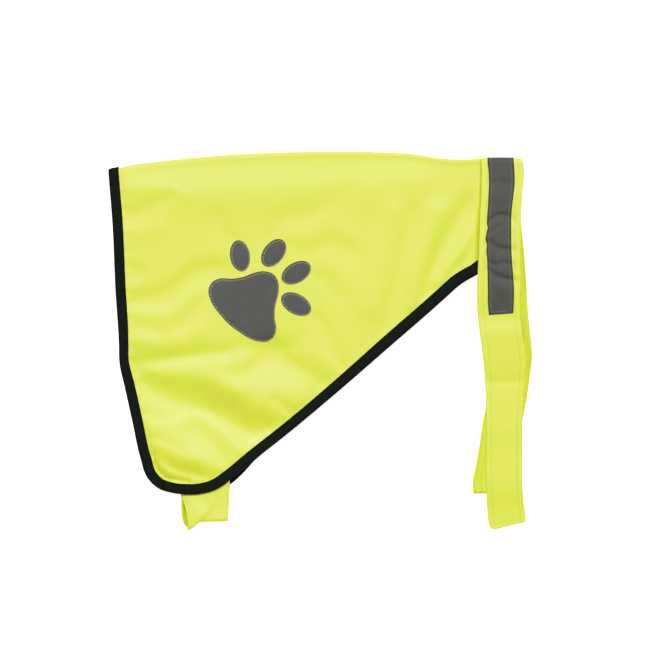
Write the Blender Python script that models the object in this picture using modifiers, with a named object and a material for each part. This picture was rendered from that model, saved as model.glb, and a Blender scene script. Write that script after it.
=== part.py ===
"""A dog's safety vest lying flat, folded in two along the spine.

Seen from above (+Z), the spine is at the top (+Y), the tail edge on the left (-X) and the neck strap on the right.
Sizes are in millimetres and become metres when a mesh is made. The origin is under the middle of the vest.
Each piece of cloth starts as a grid of points on the middle of its wall; what lies on a piece of cloth is made
from that grid's own points, moved out.
"""

import math

import bmesh
import bpy
import numpy as np

MM = 0.001
TINY = 1e-6

# Cloth walls and the gap between pieces
CLOTH_WALL = 1.0
BINDING_WALL = 1.0
STRAP_WALL = 1.2
TAPE_WALL = 0.9
PATCH_WALL = 1.0
BELLY_WALL = 1.0
GAP = 0.3

# Edge binding: a folded strip that grips the cloth's edge
BINDING_WIDTH = 9.3
BINDING_NOSE = 1.0  # middle of the strip, outside the cloth's edge
CLOTH_INSET = BINDING_NOSE + BINDING_WALL / 2
BINDING_OFFSET = CLOTH_WALL / 2 + GAP + BINDING_WALL / 2
BOUND_HALF = BINDING_OFFSET + BINDING_WALL / 2  # half of a bound edge's whole thickness
BINDING_SHOULDER = 0.2  # how far out the strip's upper and lower bends are

# Heights of the middle of the cloth above the surface that the vest lies on
FAR_FLAT = CLOTH_WALL / 2
FAR_EDGE = BOUND_HALF
NEAR_HEIGHT = 7.2
FAR_EDGE_EASE = 10.0  # width over which the far half comes down from its bound edge
STRAP_NEAR_TOP = 7.2
STRAP_FAR_TOP = TAPE_WALL + GAP + STRAP_WALL / 2

# The spine is bent round in an ellipse, tight where it is bound and at the neck, looser between
BEND_TIGHT = 2.6
BEND_LOOSE = 5.0
BEND_EASE = 40.0

# How finely the grids are divided
COLUMNS = 36
NEAR_ROWS = 34
FAR_ROWS = 12
BEND_STEPS = 6
COLUMN_GRADING = 1.15
NEAR_GRADING = 1.15
FAR_GRADING = 1.5
CORNER_STEP = 4.0

# Outline of the spine from the tail to the neck: x, y
SPINE = (
    (-211.0, 170.0),
    (-203.0, 172.2),
    (-190.0, 175.3),
    (-160.0, 179.3),
    (-100.0, 185.2),
    (-40.0, 188.2),
    (14.0, 189.2),
    (60.0, 188.4),
    (95.0, 186.3),
    (122.0, 182.3),
    (142.0, 181.2),
    (160.0, 182.4),
)

# Outline of the bound edge: down the tail, round the corner and up the slant to the neck: x, y
HEM = (
    (-211.0, 167.2),
    (-207.0, 117.0),
    (-204.0, 50.0),
    (-200.5, -4.0),
    (-200.0, -22.0),
    (-195.0, -45.0),
    (-187.0, -81.0),
    (-179.0, -117.0),
    (-172.5, -136.0),
    (-161.0, -147.2),
    (-148.0, -152.3),
    (-133.0, -153.5),
    (-119.0, -152.3),
    (-104.0, -147.6),
    (-88.0, -136.3),
    (-67.0, -118.5),
    (-42.0, -99.0),
    (15.0, -51.5),
    (70.0, -3.5),
    (124.0, 44.2),
    (140.0, 56.8),
    (158.5, 66.8),
)
CORNER = (-160.0, -147.6)
NECK_INSET_Y = 78.0  # where the binding's inner line meets the neck seam

# The far half's corner lies further towards the neck, so its binding shows below the near one
FAR_HEM_SHIFT = (
    {"x": -185.0, "shift": 0.0},
    {"x": -176.0, "shift": 1.0},
    {"x": -160.0, "shift": 3.0},
    {"x": -120.0, "shift": 5.5},
    {"x": -95.0, "shift": 6.5},
    {"x": -81.0, "shift": 4.5},
    {"x": -67.0, "shift": 1.2},
    {"x": -50.0, "shift": 0.0},
)

# Largest folds of the near half: height above (or below) the cloth, half widths on the left and the right of the
# fold's line when it is walked from its first point, and the points it runs through
FOLDS = (
    {
        "name": "spine_crest",
        "height": 1.4,
        "left": 19,
        "right": 26,
        "line": ((-195, 154), (-120, 147), (-40, 151), (30, 152), (93, 158)),
    },
    {
        "name": "tail_middle",
        "height": -1.3,
        "left": 10,
        "right": 19,
        "line": ((-198, 37), (-178, 41), (-157, 46), (-139, 57), (-119, 70), (-104, 72)),
    },
    {
        "name": "tail_low_crest",
        "height": 0.9,
        "left": 11,
        "right": 10,
        "line": ((-198, 5), (-165, -1), (-140, 1), (-120, 9)),
    },
    {
        "name": "deep",
        "height": -1.1,
        "left": 8,
        "right": 7,
        "line": ((-200, -25), (-180, -22), (-149, -18), (-120, -14), (-93, -11)),
    },
    {"name": "deep_on", "height": -0.9, "left": 11, "right": 8, "line": ((-76, -7), (-50, -4), (-25, -7))},
    {
        "name": "deep_crest",
        "height": 1.1,
        "left": 11,
        "right": 11,
        "line": ((-189, -23), (-161, -33), (-125, -34), (-103, -38), (-82, -50)),
    },
    {
        "name": "middle_crest",
        "height": 2.3,
        "left": 24,
        "right": 26,
        "line": ((-84, -43), (-56, -61), (-18, -47)),
    },
    {
        "name": "middle_crease",
        "height": -1.1,
        "left": 9,
        "right": 11,
        "line": ((-90, -36), (-72, -31), (-57, -15)),
    },
    {
        "name": "long",
        "height": -2.8,
        "left": 18,
        "right": 13,
        "line": ((-184, -34), (-164, -49), (-147, -58), (-123, -62), (-104, -70), (-89, -80), (-71, -89), (-54, -89)),
    },
    {
        "name": "long_crest",
        "height": 1.5,
        "left": 8,
        "right": 18,
        "line": ((-178, -86), (-155, -87), (-140, -85), (-126, -78), (-107, -87), (-92, -96), (-81, -111)),
    },
    {
        "name": "low_dip_2",
        "height": -2.5,
        "left": 18,
        "right": 13,
        "line": ((-123, -81), (-109, -105), (-96, -119)),
    },
    {
        "name": "corner_crest",
        "height": 2.8,
        "left": 17,
        "right": 17,
        "line": ((-172, -109), (-150, -109), (-134, -114), (-117, -118), (-99, -131)),
    },
    {
        "name": "corner",
        "height": -1.2,
        "left": 10,
        "right": 4,
        "line": ((-168, -108), (-154, -121), (-141, -129), (-121, -134), (-105, -136)),
    },
    {
        "name": "neck_sweep",
        "height": -1.8,
        "left": 16,
        "right": 10,
        "line": ((161, 145), (148, 134), (134, 113), (122, 91), (114, 69), (104, 41)),
    },
    {
        "name": "neck_outer",
        "height": 1.5,
        "left": 6,
        "right": 8,
        "line": ((158, 117), (150, 105), (142, 92), (129, 76), (118, 58)),
    },
    {
        "name": "neck_between",
        "height": 1.6,
        "left": 12,
        "right": 10,
        "line": ((114, 131), (110, 111), (102, 87), (96, 62), (96, 39)),
    },
    {
        "name": "neck_left_crest",
        "height": 1.3,
        "left": 14,
        "right": 16,
        "line": ((73, 126), (65, 94), (58, 60), (51, 36)),
    },
    {
        "name": "below_paw",
        "height": -2.4,
        "left": 12,
        "right": 22,
        "line": ((-39, -16), (-22, -30), (-8, -38), (5, -48)),
    },
)
FOLD_LINE_STEPS = 5  # segments for each point of a fold's line
FOLD_AT_HEM = 0.35  # share of a fold that reaches the bound edge
FOLD_FREE = 18.0  # distance from the bound edge where a fold has its full height
FOLD_FREE_OF_NECK = 14.0  # distance from the neck seam where it has its full height

# Neck strap: places down each run, with the strap's two edges and the height of its middle
STRAP_WIDTH = 42.0
NECK_TOP = 182.5
NEAR_RUN = (
    {"y": 185.0, "left": 161.0, "right": 202.0, "height": 7.2},
    {"y": 168.0, "left": 161.0, "right": 203.6, "height": 7.2},
    {"y": 150.0, "left": 160.8, "right": 202.0, "height": 7.2},
    {"y": 124.0, "left": 159.6, "right": 200.2, "height": 7.2},
    {"y": 79.0, "left": 158.0, "right": 200.0, "height": 7.0},
    {"y": 60.0, "left": 157.0, "right": 200.0, "height": 6.4},
    {"y": 28.0, "left": 157.3, "right": 200.2, "height": 4.9},
    {"y": 8.0, "left": 159.8, "right": 202.0, "height": 4.6},
    {"y": -18.0, "left": 163.0, "right": 205.8, "height": 3.9},
    {"y": -42.0, "left": 165.2, "right": 204.6, "height": 2.5},
    {"y": -64.0, "left": 166.0, "right": 202.8, "height": 2.7},
    {"y": -110.0, "left": 166.0, "right": 202.0, "height": 2.3},
    {"y": -152.0, "left": 166.4, "right": 202.6, "height": 2.2},
    {"y": -168.0, "left": 167.3, "right": 203.8, "height": 0.7},
    {"y": -179.0, "left": 168.3, "right": 205.2, "height": 0.6},
    {"y": -184.5, "left": 169.6, "right": 205.5, "height": 0.6},
    {"y": -187.4, "left": 171.8, "right": 205.6, "height": 0.6},
    {"y": -188.6, "left": 175.0, "right": 205.6, "height": 0.6},
)
FAR_RUN = (
    {"y": 185.0, "left": 161.0, "right": 202.0, "height": 1.8},
    {"y": 150.0, "left": 160.8, "right": 202.0, "height": 1.8},
    {"y": 124.0, "left": 159.6, "right": 200.8, "height": 1.8},
    {"y": 91.0, "left": 158.4, "right": 203.6, "height": 1.8},
    {"y": 60.0, "left": 159.0, "right": 206.0, "height": 1.8},
    {"y": 24.0, "left": 162.0, "right": 208.2, "height": 1.8},
    {"y": 4.0, "left": 165.0, "right": 210.5, "height": 0.6},
    {"y": -12.0, "left": 167.0, "right": 211.8, "height": 0.6},
    {"y": -39.0, "left": 167.5, "right": 209.2, "height": 0.6},
    {"y": -64.0, "left": 166.2, "right": 205.4, "height": 0.6},
    {"y": -82.0, "left": 162.8, "right": 202.0, "height": 0.6},
    {"y": -106.0, "left": 159.2, "right": 199.0, "height": 0.6},
    {"y": -122.0, "left": 156.3, "right": 197.6, "height": 0.6},
    {"y": -147.0, "left": 152.8, "right": 195.6, "height": 0.6},
    {"y": -152.7, "left": 153.6, "right": 195.0, "height": 0.6},
)
NEAR_END_SLANT = 7.5  # the near end is cut this much shorter at its right corner
NEAR_SLANT_LENGTH = 45.0
END_ROWS = (0.0, 1.2, 4.1)  # rows that round the near end's corner, from the end
END_ROUNDED = 9.0
STRAP_STEPS = {"near_free": 19, "near_taped": 13, "far_taped": 9, "far_free": 12}

# Reflective tape on the strap: its left edge from the strap's, down the run, on a strap of its full width
TAPE_WIDTH = 25.5
TAPE_END = 25.8
TAPE_PLACE = (
    {"y": 185.0, "from_left": 6.5},
    {"y": 150.0, "from_left": 8.1},
    {"y": 80.0, "from_left": 9.4},
    {"y": 40.0, "from_left": 11.2},
    {"y": 25.8, "from_left": 12.0},
    {"y": -190.0, "from_left": 12.0},
)

# Paw motif: everything is placed along and across the paw's own axis, from the middle of the pad's two lower lobes
PAW_PLACE = (-78.0, 30.0)
PAW_TURN = -42.0  # degrees from the +Y direction, anticlockwise
PAW_TOES = (
    {"across": -38.0, "along": 39.5, "half_width": 9.8, "half_length": 15.5, "tilt": 50.2},
    {"across": -15.0, "along": 64.1, "half_width": 10.0, "half_length": 15.7, "tilt": 4.2},
    {"across": 14.9, "along": 64.5, "half_width": 9.9, "half_length": 15.9, "tilt": -17.5},
    {"across": 35.8, "along": 41.2, "half_width": 10.0, "half_length": 16.1, "tilt": -76.9},
)
TOE_SIDES = 22
# One side of the pad from its base to its top: across, along
PAD_SIDE = (
    (0.0, -18.5),
    (15.6, -17.0),
    (23.5, -15.5),
    (31.0, -12.5),
    (38.3, -7.0),
    (40.9, 1.3),
    (37.2, 10.0),
    (29.4, 16.3),
    (21.6, 25.7),
    (15.6, 37.0),
    (10.8, 43.2),
    (4.0, 47.4),
    (0.0, 48.2),
)
PAD_SIDES = 48
PAW_MARGIN = 16.0

# Belly strap: a flattened loop; its columns from left to right at the inner ends and at the bottom bend
BELLY_INNER_Y = -127.0
BELLY_COLUMNS = (
    {"inner_x": -136.6, "bottom_x": -131.4, "bottom_y": -189.2, "far_shift": -4.3},
    {"inner_x": -125.0, "bottom_x": -121.8, "bottom_y": -185.0, "far_shift": -2.4},
    {"inner_x": -115.0, "bottom_x": -115.6, "bottom_y": -181.0, "far_shift": -0.8},
    {"inner_x": -102.0, "bottom_x": -104.0, "bottom_y": -180.8, "far_shift": 0.0},
    {"inner_x": -89.6, "bottom_x": -92.4, "bottom_y": -180.6, "far_shift": 0.0},
)
BELLY_LEG_STEPS = 8
BELLY_BEND_STEPS = 4
BELLY_LEG_OFFSET = BOUND_HALF + GAP + BELLY_WALL / 2  # a leg's middle from the middle of the bound cloth
BELLY_LEGS_APART = 1.5  # middles of the two legs, inside the corner
BELLY_BULGE_END = 0.9  # the far leg's shift rises and falls like a sine, this share of a half turn long
BELLY_BEND = 2.0  # how far the bottom bend reaches
BELLY_DROP = 12.0  # below the hem, the length in which the far leg comes down to the surface
BELLY_LIFT = 1.8  # the near corner rises over the strap
BELLY_LIFT_BOX = {"left": -143.0, "right": -84.0, "top": -122.0}
BELLY_LIFT_EASE = 38.0
BELLY_HEM_Y = -155.0
BELLY_NEAR_END = 4.5  # height of the near leg's middle at the bottom bend

CUTTER_LOW = 1.0
CUTTER_HEIGHT = 19.0

YELLOW = (0.775, 0.823, 0.144)
BLACK = (0.008, 0.009, 0.010)
GREY = (0.100, 0.105, 0.095)


# Lines and tables


def smooth_value(at, places, values):
    """Values at the places asked for, on a smooth curve through a short table with rising places."""
    places = np.array(places, float)
    values = np.array(values, float)
    slopes = np.gradient(values, places, axis=0)
    at = np.clip(at, places[0], places[-1])
    span = np.clip(np.searchsorted(places, at, side="right") - 1, 0, len(places) - 2)
    step = places[span + 1] - places[span]
    part = (at - places[span]) / step
    if values.ndim == 2:
        step = step[:, None]
        part = part[:, None]
    rise = part * part * (3 - 2 * part)
    return (
        (1 - rise) * values[span]
        + rise * values[span + 1]
        + step * part * (1 - part) * ((1 - part) * slopes[span] - part * slopes[span + 1])
    )


def column(table, place, value, at):
    """One named column of a table of rows, read at the places asked for."""
    rows = sorted(table, key=lambda row: row[place])
    return smooth_value(at, [row[place] for row in rows], [row[value] for row in rows])


def lengths_of(line):
    """Distance along a line at each of its points."""
    return np.concatenate([[0.0], np.cumsum(np.linalg.norm(np.diff(line, axis=0), axis=1))])


def smooth_line(knots, points_per_span=14):
    """A smooth line through a few knots."""
    knots = np.array(knots, float)
    places = lengths_of(knots)
    return smooth_value(np.linspace(0, places[-1], points_per_span * len(knots)), places, knots)


def along(line, lengths):
    """Points at the given distances along a line."""
    places = lengths_of(line)
    return np.stack([np.interp(lengths, places, line[:, axis]) for axis in range(line.shape[1])], axis=-1)


def to_the_left(line, lengths):
    """Unit directions to the left of a line, at the given distances along it."""
    ahead = along(line, lengths + 1.0) - along(line, lengths - 1.0)
    ahead /= np.linalg.norm(ahead, axis=1, keepdims=True)
    return np.stack([-ahead[:, 1], ahead[:, 0]], axis=-1)


def measure_from(line, points):
    """Shortest distance from each point to a line of straight segments, and its side: 1 on the left, -1 on the right."""
    nearest = np.full(points.shape[:-1], np.inf)
    side = np.zeros(points.shape[:-1])
    for start, end in zip(line[:-1], line[1:]):
        run = end - start
        share = np.clip(((points - start) @ run) / (run @ run), 0, 1)
        off = points - start - share[..., None] * run
        distance = np.linalg.norm(off, axis=-1)
        closer = distance < nearest
        nearest = np.where(closer, distance, nearest)
        side = np.where(closer, (run[0] * off[..., 1] - run[1] * off[..., 0]) / np.linalg.norm(run), side)
    return nearest, side / np.maximum(nearest, TINY)


def ease(start, end, value):
    """0 before start, 1 after end, and a soft rise between."""
    share = np.clip((value - start) / (end - start), 0, 1)
    return share * share * (3 - 2 * share)


HEM_LINE = smooth_line(HEM)


def far_hem_line():
    """The far half's bound edge: the near one, with its corner shifted towards the neck."""
    shift = column(FAR_HEM_SHIFT, "x", "shift", HEM_LINE[:, 0])
    return HEM_LINE + np.stack([shift, np.zeros_like(shift)], axis=-1)


# Heights of the two halves


def neck_seam_x(y):
    """The cloth's neck edge, a gap away from the strap's left edge."""
    return column(NEAR_RUN, "y", "left", y) - GAP


def fold_relief(plan):
    """Height that the folds add to the near half where nothing holds it down."""
    relief = np.zeros(plan.shape[:-1])
    for fold in FOLDS:
        distance, side = measure_from(smooth_line(fold["line"], FOLD_LINE_STEPS), plan)
        half_width = (fold["left"] + fold["right"]) / 2 + side * (fold["left"] - fold["right"]) / 2
        relief += fold["height"] * np.exp(-((distance / half_width) ** 2))
    return relief


def near_height(plan):
    """Height of the near half's middle above the surface, over points of its plan."""
    from_hem, _ = measure_from(HEM_LINE, plan)
    from_neck = neck_seam_x(plan[..., 1]) - plan[..., 0]
    free = FOLD_AT_HEM + (1 - FOLD_AT_HEM) * ease(BINDING_WIDTH, FOLD_FREE, from_hem)
    free = free * ease(0, FOLD_FREE_OF_NECK, from_neck)
    box = BELLY_LIFT_BOX
    aside = np.maximum(0, np.maximum(box["left"] - plan[..., 0], plan[..., 0] - box["right"]))
    above = np.maximum(0, plan[..., 1] - box["top"])
    lift = BELLY_LIFT * (1 - ease(0, BELLY_LIFT_EASE, np.hypot(aside, above)))
    return NEAR_HEIGHT + free * fold_relief(plan) + lift


def far_height(plan):
    """Height of the far half's middle: flat on the surface, and raised by the strip that binds its edge."""
    from_hem, _ = measure_from(far_hem_line(), plan)
    from_neck = neck_seam_x(plan[..., 1]) - plan[..., 0] + BINDING_WIDTH
    down = ease(BINDING_WIDTH, BINDING_WIDTH + FAR_EDGE_EASE, np.minimum(from_hem, from_neck))
    return FAR_EDGE - (FAR_EDGE - FAR_FLAT) * down


# Grids of points: rows run from the hem to the spine, columns from the tail to the neck


def bend_depth(x):
    """How far the spine's bend reaches into the cloth."""
    inside = ease(0, BEND_EASE, x - SPINE[0][0] - BINDING_WIDTH) * ease(0, BEND_EASE, SPINE[-1][0] - x)
    return BEND_TIGHT + (BEND_LOOSE - BEND_TIGHT) * inside


def bend_start_y(x):
    """Where the cloth begins to bend round the spine."""
    return column([{"x": x, "y": y} for x, y in SPINE], "x", "y", x) - CLOTH_WALL / 2 - bend_depth(x)


def half_plan(hem, rows, grading):
    """Plan of one half. Row 0 and column 0 are the cloth's bound edge, row 1 and column 1 the binding's inner line."""
    places = lengths_of(hem)
    corner = places[np.argmin(np.linalg.norm(hem - np.array(CORNER), axis=1))]
    up = np.linspace(0, 1, rows) ** grading
    across = np.linspace(0, 1, COLUMNS) ** COLUMN_GRADING
    tail = corner * (1 - up)
    slant = corner + (places[-1] - corner) * across
    left = along(hem, tail) + BINDING_WIDTH * to_the_left(hem, tail)
    bottom = along(hem, slant) + BINDING_WIDTH * to_the_left(hem, slant)
    bottom[-1] = neck_seam_x(np.array(NECK_INSET_Y)), NECK_INSET_Y
    neck_x = neck_seam_x(np.array(NECK_TOP))
    top_x = left[-1, 0] + (neck_x - left[-1, 0]) * across
    top = np.stack([top_x, bend_start_y(top_x)], axis=-1)
    left[-1] = top[0]
    right_y = NECK_INSET_Y + (top[-1, 1] - NECK_INSET_Y) * up
    right = np.stack([neck_seam_x(right_y), right_y], axis=-1)
    plan = np.empty((rows + 1, COLUMNS + 1, 2))
    plan[1:, 1:] = blend_edges(left, right, bottom, top, up, across)
    tail[0] = corner - CORNER_STEP
    slant[0] = corner + CORNER_STEP
    plan[1:, 0] = along(hem, tail) + CLOTH_INSET * to_the_left(hem, tail)
    plan[0, 1:] = along(hem, slant) + CLOTH_INSET * to_the_left(hem, slant)
    at_corner = np.array([corner])
    plan[0, 0] = (along(hem, at_corner) + CLOTH_INSET * to_the_left(hem, at_corner))[0]
    plan[-1, 0, 1] = bend_start_y(plan[-1, 0, 0])
    plan[0, -1, 0] = neck_seam_x(plan[0, -1, 1])
    return plan


def blend_edges(left, right, bottom, top, up, across):
    """Fills a four-sided patch from its four edges."""
    up = up[:, None, None]
    across = across[None, :, None]
    sides = (1 - across) * left[:, None] + across * right[:, None]
    ends = (1 - up) * bottom[None] + up * top[None]
    low = (1 - across) * left[0] + across * right[0]
    high = (1 - across) * left[-1] + across * right[-1]
    return sides + ends - ((1 - up) * low + up * high)


def bend_rows(near_row, far_row, depth, steps):
    """Rows of a half ellipse that joins the near layer to the far one, bulging towards +Y, or -Y if depth is below 0."""
    rows = []
    for turn in np.linspace(math.pi / 2, -math.pi / 2, steps + 1)[1:-1]:
        share = (1 - math.sin(turn)) / 2
        row = near_row + (far_row - near_row) * share
        row[:, 1] += depth * math.cos(turn)
        rows.append(row)
    return np.array(rows)


def with_height(plan, height):
    return np.concatenate([plan, height[..., None]], axis=-1)


def panel_grid():
    """The whole back panel: near half from its hem to the spine, the bend, and the far half back to its hem."""
    near_plan = half_plan(HEM_LINE, NEAR_ROWS, NEAR_GRADING)
    far_plan = half_plan(far_hem_line(), FAR_ROWS, FAR_GRADING)
    far_plan[-1] = near_plan[-1]
    near = with_height(near_plan, near_height(near_plan))
    far = with_height(far_plan, far_height(far_plan))
    bend = bend_rows(near[-1], far[-1], bend_depth(near_plan[-1, :, 0]), BEND_STEPS)
    return np.concatenate([near, bend, far[::-1]])


# Meshes and objects


def grid_mesh(points):
    """A bmesh grid that runs through an array of points, in metres."""
    rows, columns = points.shape[:2]
    mesh = bmesh.new()
    grid = bmesh.ops.create_grid(mesh, x_segments=columns - 1, y_segments=rows - 1)
    for vertex, point in zip(grid["verts"], points.reshape(-1, 3)):
        vertex.co = point * MM
    mesh.normal_update()
    return mesh


def outward(points):
    """Unit directions out of the cloth at each point of its grid: up on the near half, down on the far one."""
    mesh = grid_mesh(points)
    mesh.verts.ensure_lookup_table()
    normals = np.array([vertex.normal for vertex in mesh.verts]).reshape(points.shape)
    mesh.free()
    return normals


def material(name, colour, roughness, metallic=0.0):
    made = bpy.data.materials.new(name)
    made.use_nodes = True
    shader = made.node_tree.nodes["Principled BSDF"]
    shader.inputs["Base Color"].default_value = (*colour, 1.0)
    shader.inputs["Roughness"].default_value = roughness
    shader.inputs["Metallic"].default_value = metallic
    return made


def cloth_object(name, points, wall, finish, collection):
    """A sheet of cloth: its grid of points with a wall, half to each side."""
    mesh = grid_mesh(points)
    bmesh.ops.triangulate(mesh, faces=mesh.faces, quad_method="FIXED")
    bmesh.ops.remove_doubles(mesh, verts=mesh.verts, dist=0.01 * MM)
    data = bpy.data.meshes.new(name)
    mesh.to_mesh(data)
    mesh.free()
    data.materials.append(finish)
    data.shade_smooth()
    made = bpy.data.objects.new(name, data)
    collection.objects.link(made)
    solidify = made.modifiers.new("wall", "SOLIDIFY")
    solidify.thickness = wall * MM
    solidify.offset = 0.0
    solidify.use_even_offset = True
    return made


# Pieces


def make_back_panel(panel, finish, collection):
    cloth_object("back_panel", panel, CLOTH_WALL, finish, collection)


def make_edge_binding(panel, finish, collection):
    """The strip folded over the cloth's edge: one section for each point of the edge, near neck to far neck."""
    out = outward(panel)
    rows, columns = panel.shape[:2]
    slant = range(columns - 1, 0, -1)
    edge = [(0, c) for c in slant] + [(r, 0) for r in range(rows)] + [(rows - 1, c) for c in reversed(slant)]
    inner = [(min(max(r, 1), rows - 2), max(c, 1)) for r, c in edge]
    outer_points = np.array([panel[at] for at in edge])
    outer_out = np.array([out[at] for at in edge])
    inner_points = np.array([panel[at] for at in inner])
    inner_out = np.array([out[at] for at in inner])
    run = np.gradient(outer_points, axis=0)
    away = np.cross(run, outer_out)
    away /= np.linalg.norm(away, axis=1, keepdims=True)
    away *= np.sign(np.sum(away * (outer_points - inner_points), axis=1, keepdims=True))
    section = [
        inner_points + BINDING_OFFSET * inner_out,
        outer_points + BINDING_OFFSET * outer_out + BINDING_SHOULDER * away,
        outer_points + BINDING_OFFSET / 2 * outer_out + BINDING_NOSE * away,
        outer_points - BINDING_OFFSET / 2 * outer_out + BINDING_NOSE * away,
        outer_points - BINDING_OFFSET * outer_out + BINDING_SHOULDER * away,
        inner_points - BINDING_OFFSET * inner_out,
    ]
    section = np.stack(section, axis=1)
    section[..., 0] = np.minimum(section[..., 0], neck_seam_x(section[..., 1]) - BINDING_WALL / 2)
    cloth_object("edge_binding", section, BINDING_WALL, finish, collection)


def strap_rows(run, ys, slant):
    """Points of one run of the neck strap, one row for each place: its edges and the tape's two edges and middle."""
    left = column(run, "y", "left", ys)
    right = column(run, "y", "right", ys)
    drawn_in = (right - left) / STRAP_WIDTH
    tape_left = left + column(TAPE_PLACE, "y", "from_left", ys) * drawn_in
    tape_right = tape_left + TAPE_WIDTH * drawn_in
    across = np.stack([left, tape_left, (tape_left + tape_right) / 2, tape_right, right], axis=-1)
    end = min(row["y"] for row in run)
    tilt = slant * (1 - ease(0, NEAR_SLANT_LENGTH, ys - end))
    down = ys[:, None] + tilt[:, None] * (across - left[:, None]) / (right - left)[:, None]
    height = np.repeat(column(run, "y", "height", ys)[:, None], across.shape[1], axis=1)
    return np.stack([across, down, height], axis=-1)


def strap_grid():
    """The whole neck strap: near run from its end up to the spine, the bend, and the far run down to its end."""
    steps = STRAP_STEPS
    depth = (STRAP_NEAR_TOP - STRAP_FAR_TOP) / 2
    start = NECK_TOP - STRAP_WALL / 2 - depth
    near_end = min(row["y"] for row in NEAR_RUN)
    far_end = min(row["y"] for row in FAR_RUN)
    near_ys = np.concatenate([
        near_end + np.array(END_ROWS),
        np.linspace(near_end + END_ROUNDED, TAPE_END, steps["near_free"] + 1)[:-1],
        np.linspace(TAPE_END, start, steps["near_taped"] + 1),
    ])
    far_ys = np.concatenate([
        np.linspace(start, TAPE_END, steps["far_taped"] + 1)[:-1],
        np.linspace(TAPE_END, far_end, steps["far_free"] + 1),
    ])
    near = strap_rows(NEAR_RUN, near_ys, NEAR_END_SLANT)
    far = strap_rows(FAR_RUN, far_ys, 0.0)
    far[0, :, :2] = near[-1, :, :2]
    bend = bend_rows(near[-1], far[0], depth, BEND_STEPS)
    return np.concatenate([near, bend, far])


def make_neck_strap(strap, finish, collection):
    cloth_object("neck_strap", strap, STRAP_WALL, finish, collection)


def make_neck_tape(strap, finish, collection):
    """The tape is the strap's own middle columns, moved out."""
    steps = STRAP_STEPS
    first = len(END_ROWS) + steps["near_free"]
    last = first + steps["near_taped"] + BEND_STEPS + steps["far_taped"]
    moved = strap + (STRAP_WALL / 2 + GAP + TAPE_WALL / 2) * outward(strap)
    cloth_object("neck_tape", moved[first : last + 1, 1:4], TAPE_WALL, finish, collection)


def belly_grid():
    """The belly strap: its near leg down from inside the near corner, the bottom bend, and its far leg back up."""
    share = np.linspace(0, 1, BELLY_LEG_STEPS + 1)
    bend = BELLY_BEND + BELLY_WALL / 2
    near = np.empty((len(share), len(BELLY_COLUMNS), 3))
    far = np.empty_like(near)
    for index, row in enumerate(BELLY_COLUMNS):
        x = row["inner_x"] + (row["bottom_x"] - row["inner_x"]) * share
        y = BELLY_INNER_Y + (row["bottom_y"] + bend - BELLY_INNER_Y) * share
        outside = ease(0, 1, (BELLY_HEM_Y - y) / (BELLY_HEM_Y - row["bottom_y"] - bend))
        near_plan = np.stack([x, y], axis=-1)
        far_z = FAR_EDGE + BELLY_LEG_OFFSET
        near_z = np.maximum(near_height(near_plan) - BELLY_LEG_OFFSET, far_z + BELLY_LEGS_APART)
        near[:, index] = with_height(near_plan, near_z + (BELLY_NEAR_END - near_z) * outside)
        shift = row["far_shift"] * np.sin(math.pi * BELLY_BULGE_END * share)
        far_plan = np.stack([x + shift, y], axis=-1)
        dropped = far_z + (BELLY_WALL / 2 - far_z) * ease(0, BELLY_DROP, BELLY_HEM_Y - y)
        far[:, index] = with_height(far_plan, dropped)
    turn = bend_rows(near[-1], far[-1], -BELLY_BEND, BELLY_BEND_STEPS)
    return np.concatenate([near, turn, far[::-1]])[:, ::-1]


def make_belly_strap(finish, collection):
    cloth_object("belly_strap", belly_grid(), BELLY_WALL, finish, collection)


def toe_outline(toe):
    """An oval, across and along the paw's axis."""
    turns = np.linspace(0, 2 * math.pi, TOE_SIDES, endpoint=False)
    oval = np.stack([toe["half_width"] * np.cos(turns), toe["half_length"] * np.sin(turns)], axis=-1)
    return turned(oval, toe["tilt"]) + np.array([toe["across"], toe["along"]])


def pad_outline():
    """A rounded three-lobed pad, the same on both sides of the paw's axis."""
    side = np.array(PAD_SIDE)
    mirrored = side[::-1][1:] * np.array([-1.0, 1.0])
    loop = np.concatenate([side, mirrored])
    wrapped = np.concatenate([loop[-4:-1], loop, loop[1:4]])
    line = smooth_line(wrapped)
    places = lengths_of(wrapped)
    return along(line, np.linspace(places[3], places[-4], PAD_SIDES, endpoint=False) * lengths_of(line)[-1] / places[-1])


def turned(points, degrees):
    angle = math.radians(degrees)
    x = points[:, 0] * math.cos(angle) - points[:, 1] * math.sin(angle)
    y = points[:, 0] * math.sin(angle) + points[:, 1] * math.cos(angle)
    return np.stack([x, y], axis=-1)


def make_cutter(name, outline, collection):
    """A straight-sided block with the outline's shape, tall enough to pass through the near half."""
    mesh = bmesh.new()
    face = mesh.faces.new([mesh.verts.new((x * MM, y * MM, CUTTER_LOW * MM)) for x, y in outline])
    raised = bmesh.ops.extrude_face_region(mesh, geom=[face])
    top = [item for item in raised["geom"] if isinstance(item, bmesh.types.BMVert)]
    bmesh.ops.translate(mesh, verts=top, vec=(0.0, 0.0, CUTTER_HEIGHT * MM))
    bmesh.ops.recalc_face_normals(mesh, faces=mesh.faces)
    data = bpy.data.meshes.new(name)
    mesh.to_mesh(data)
    mesh.free()
    made = bpy.data.objects.new(name, data)
    made.hide_render = True
    made.display_type = "WIRE"
    collection.objects.link(made)
    return made


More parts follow.
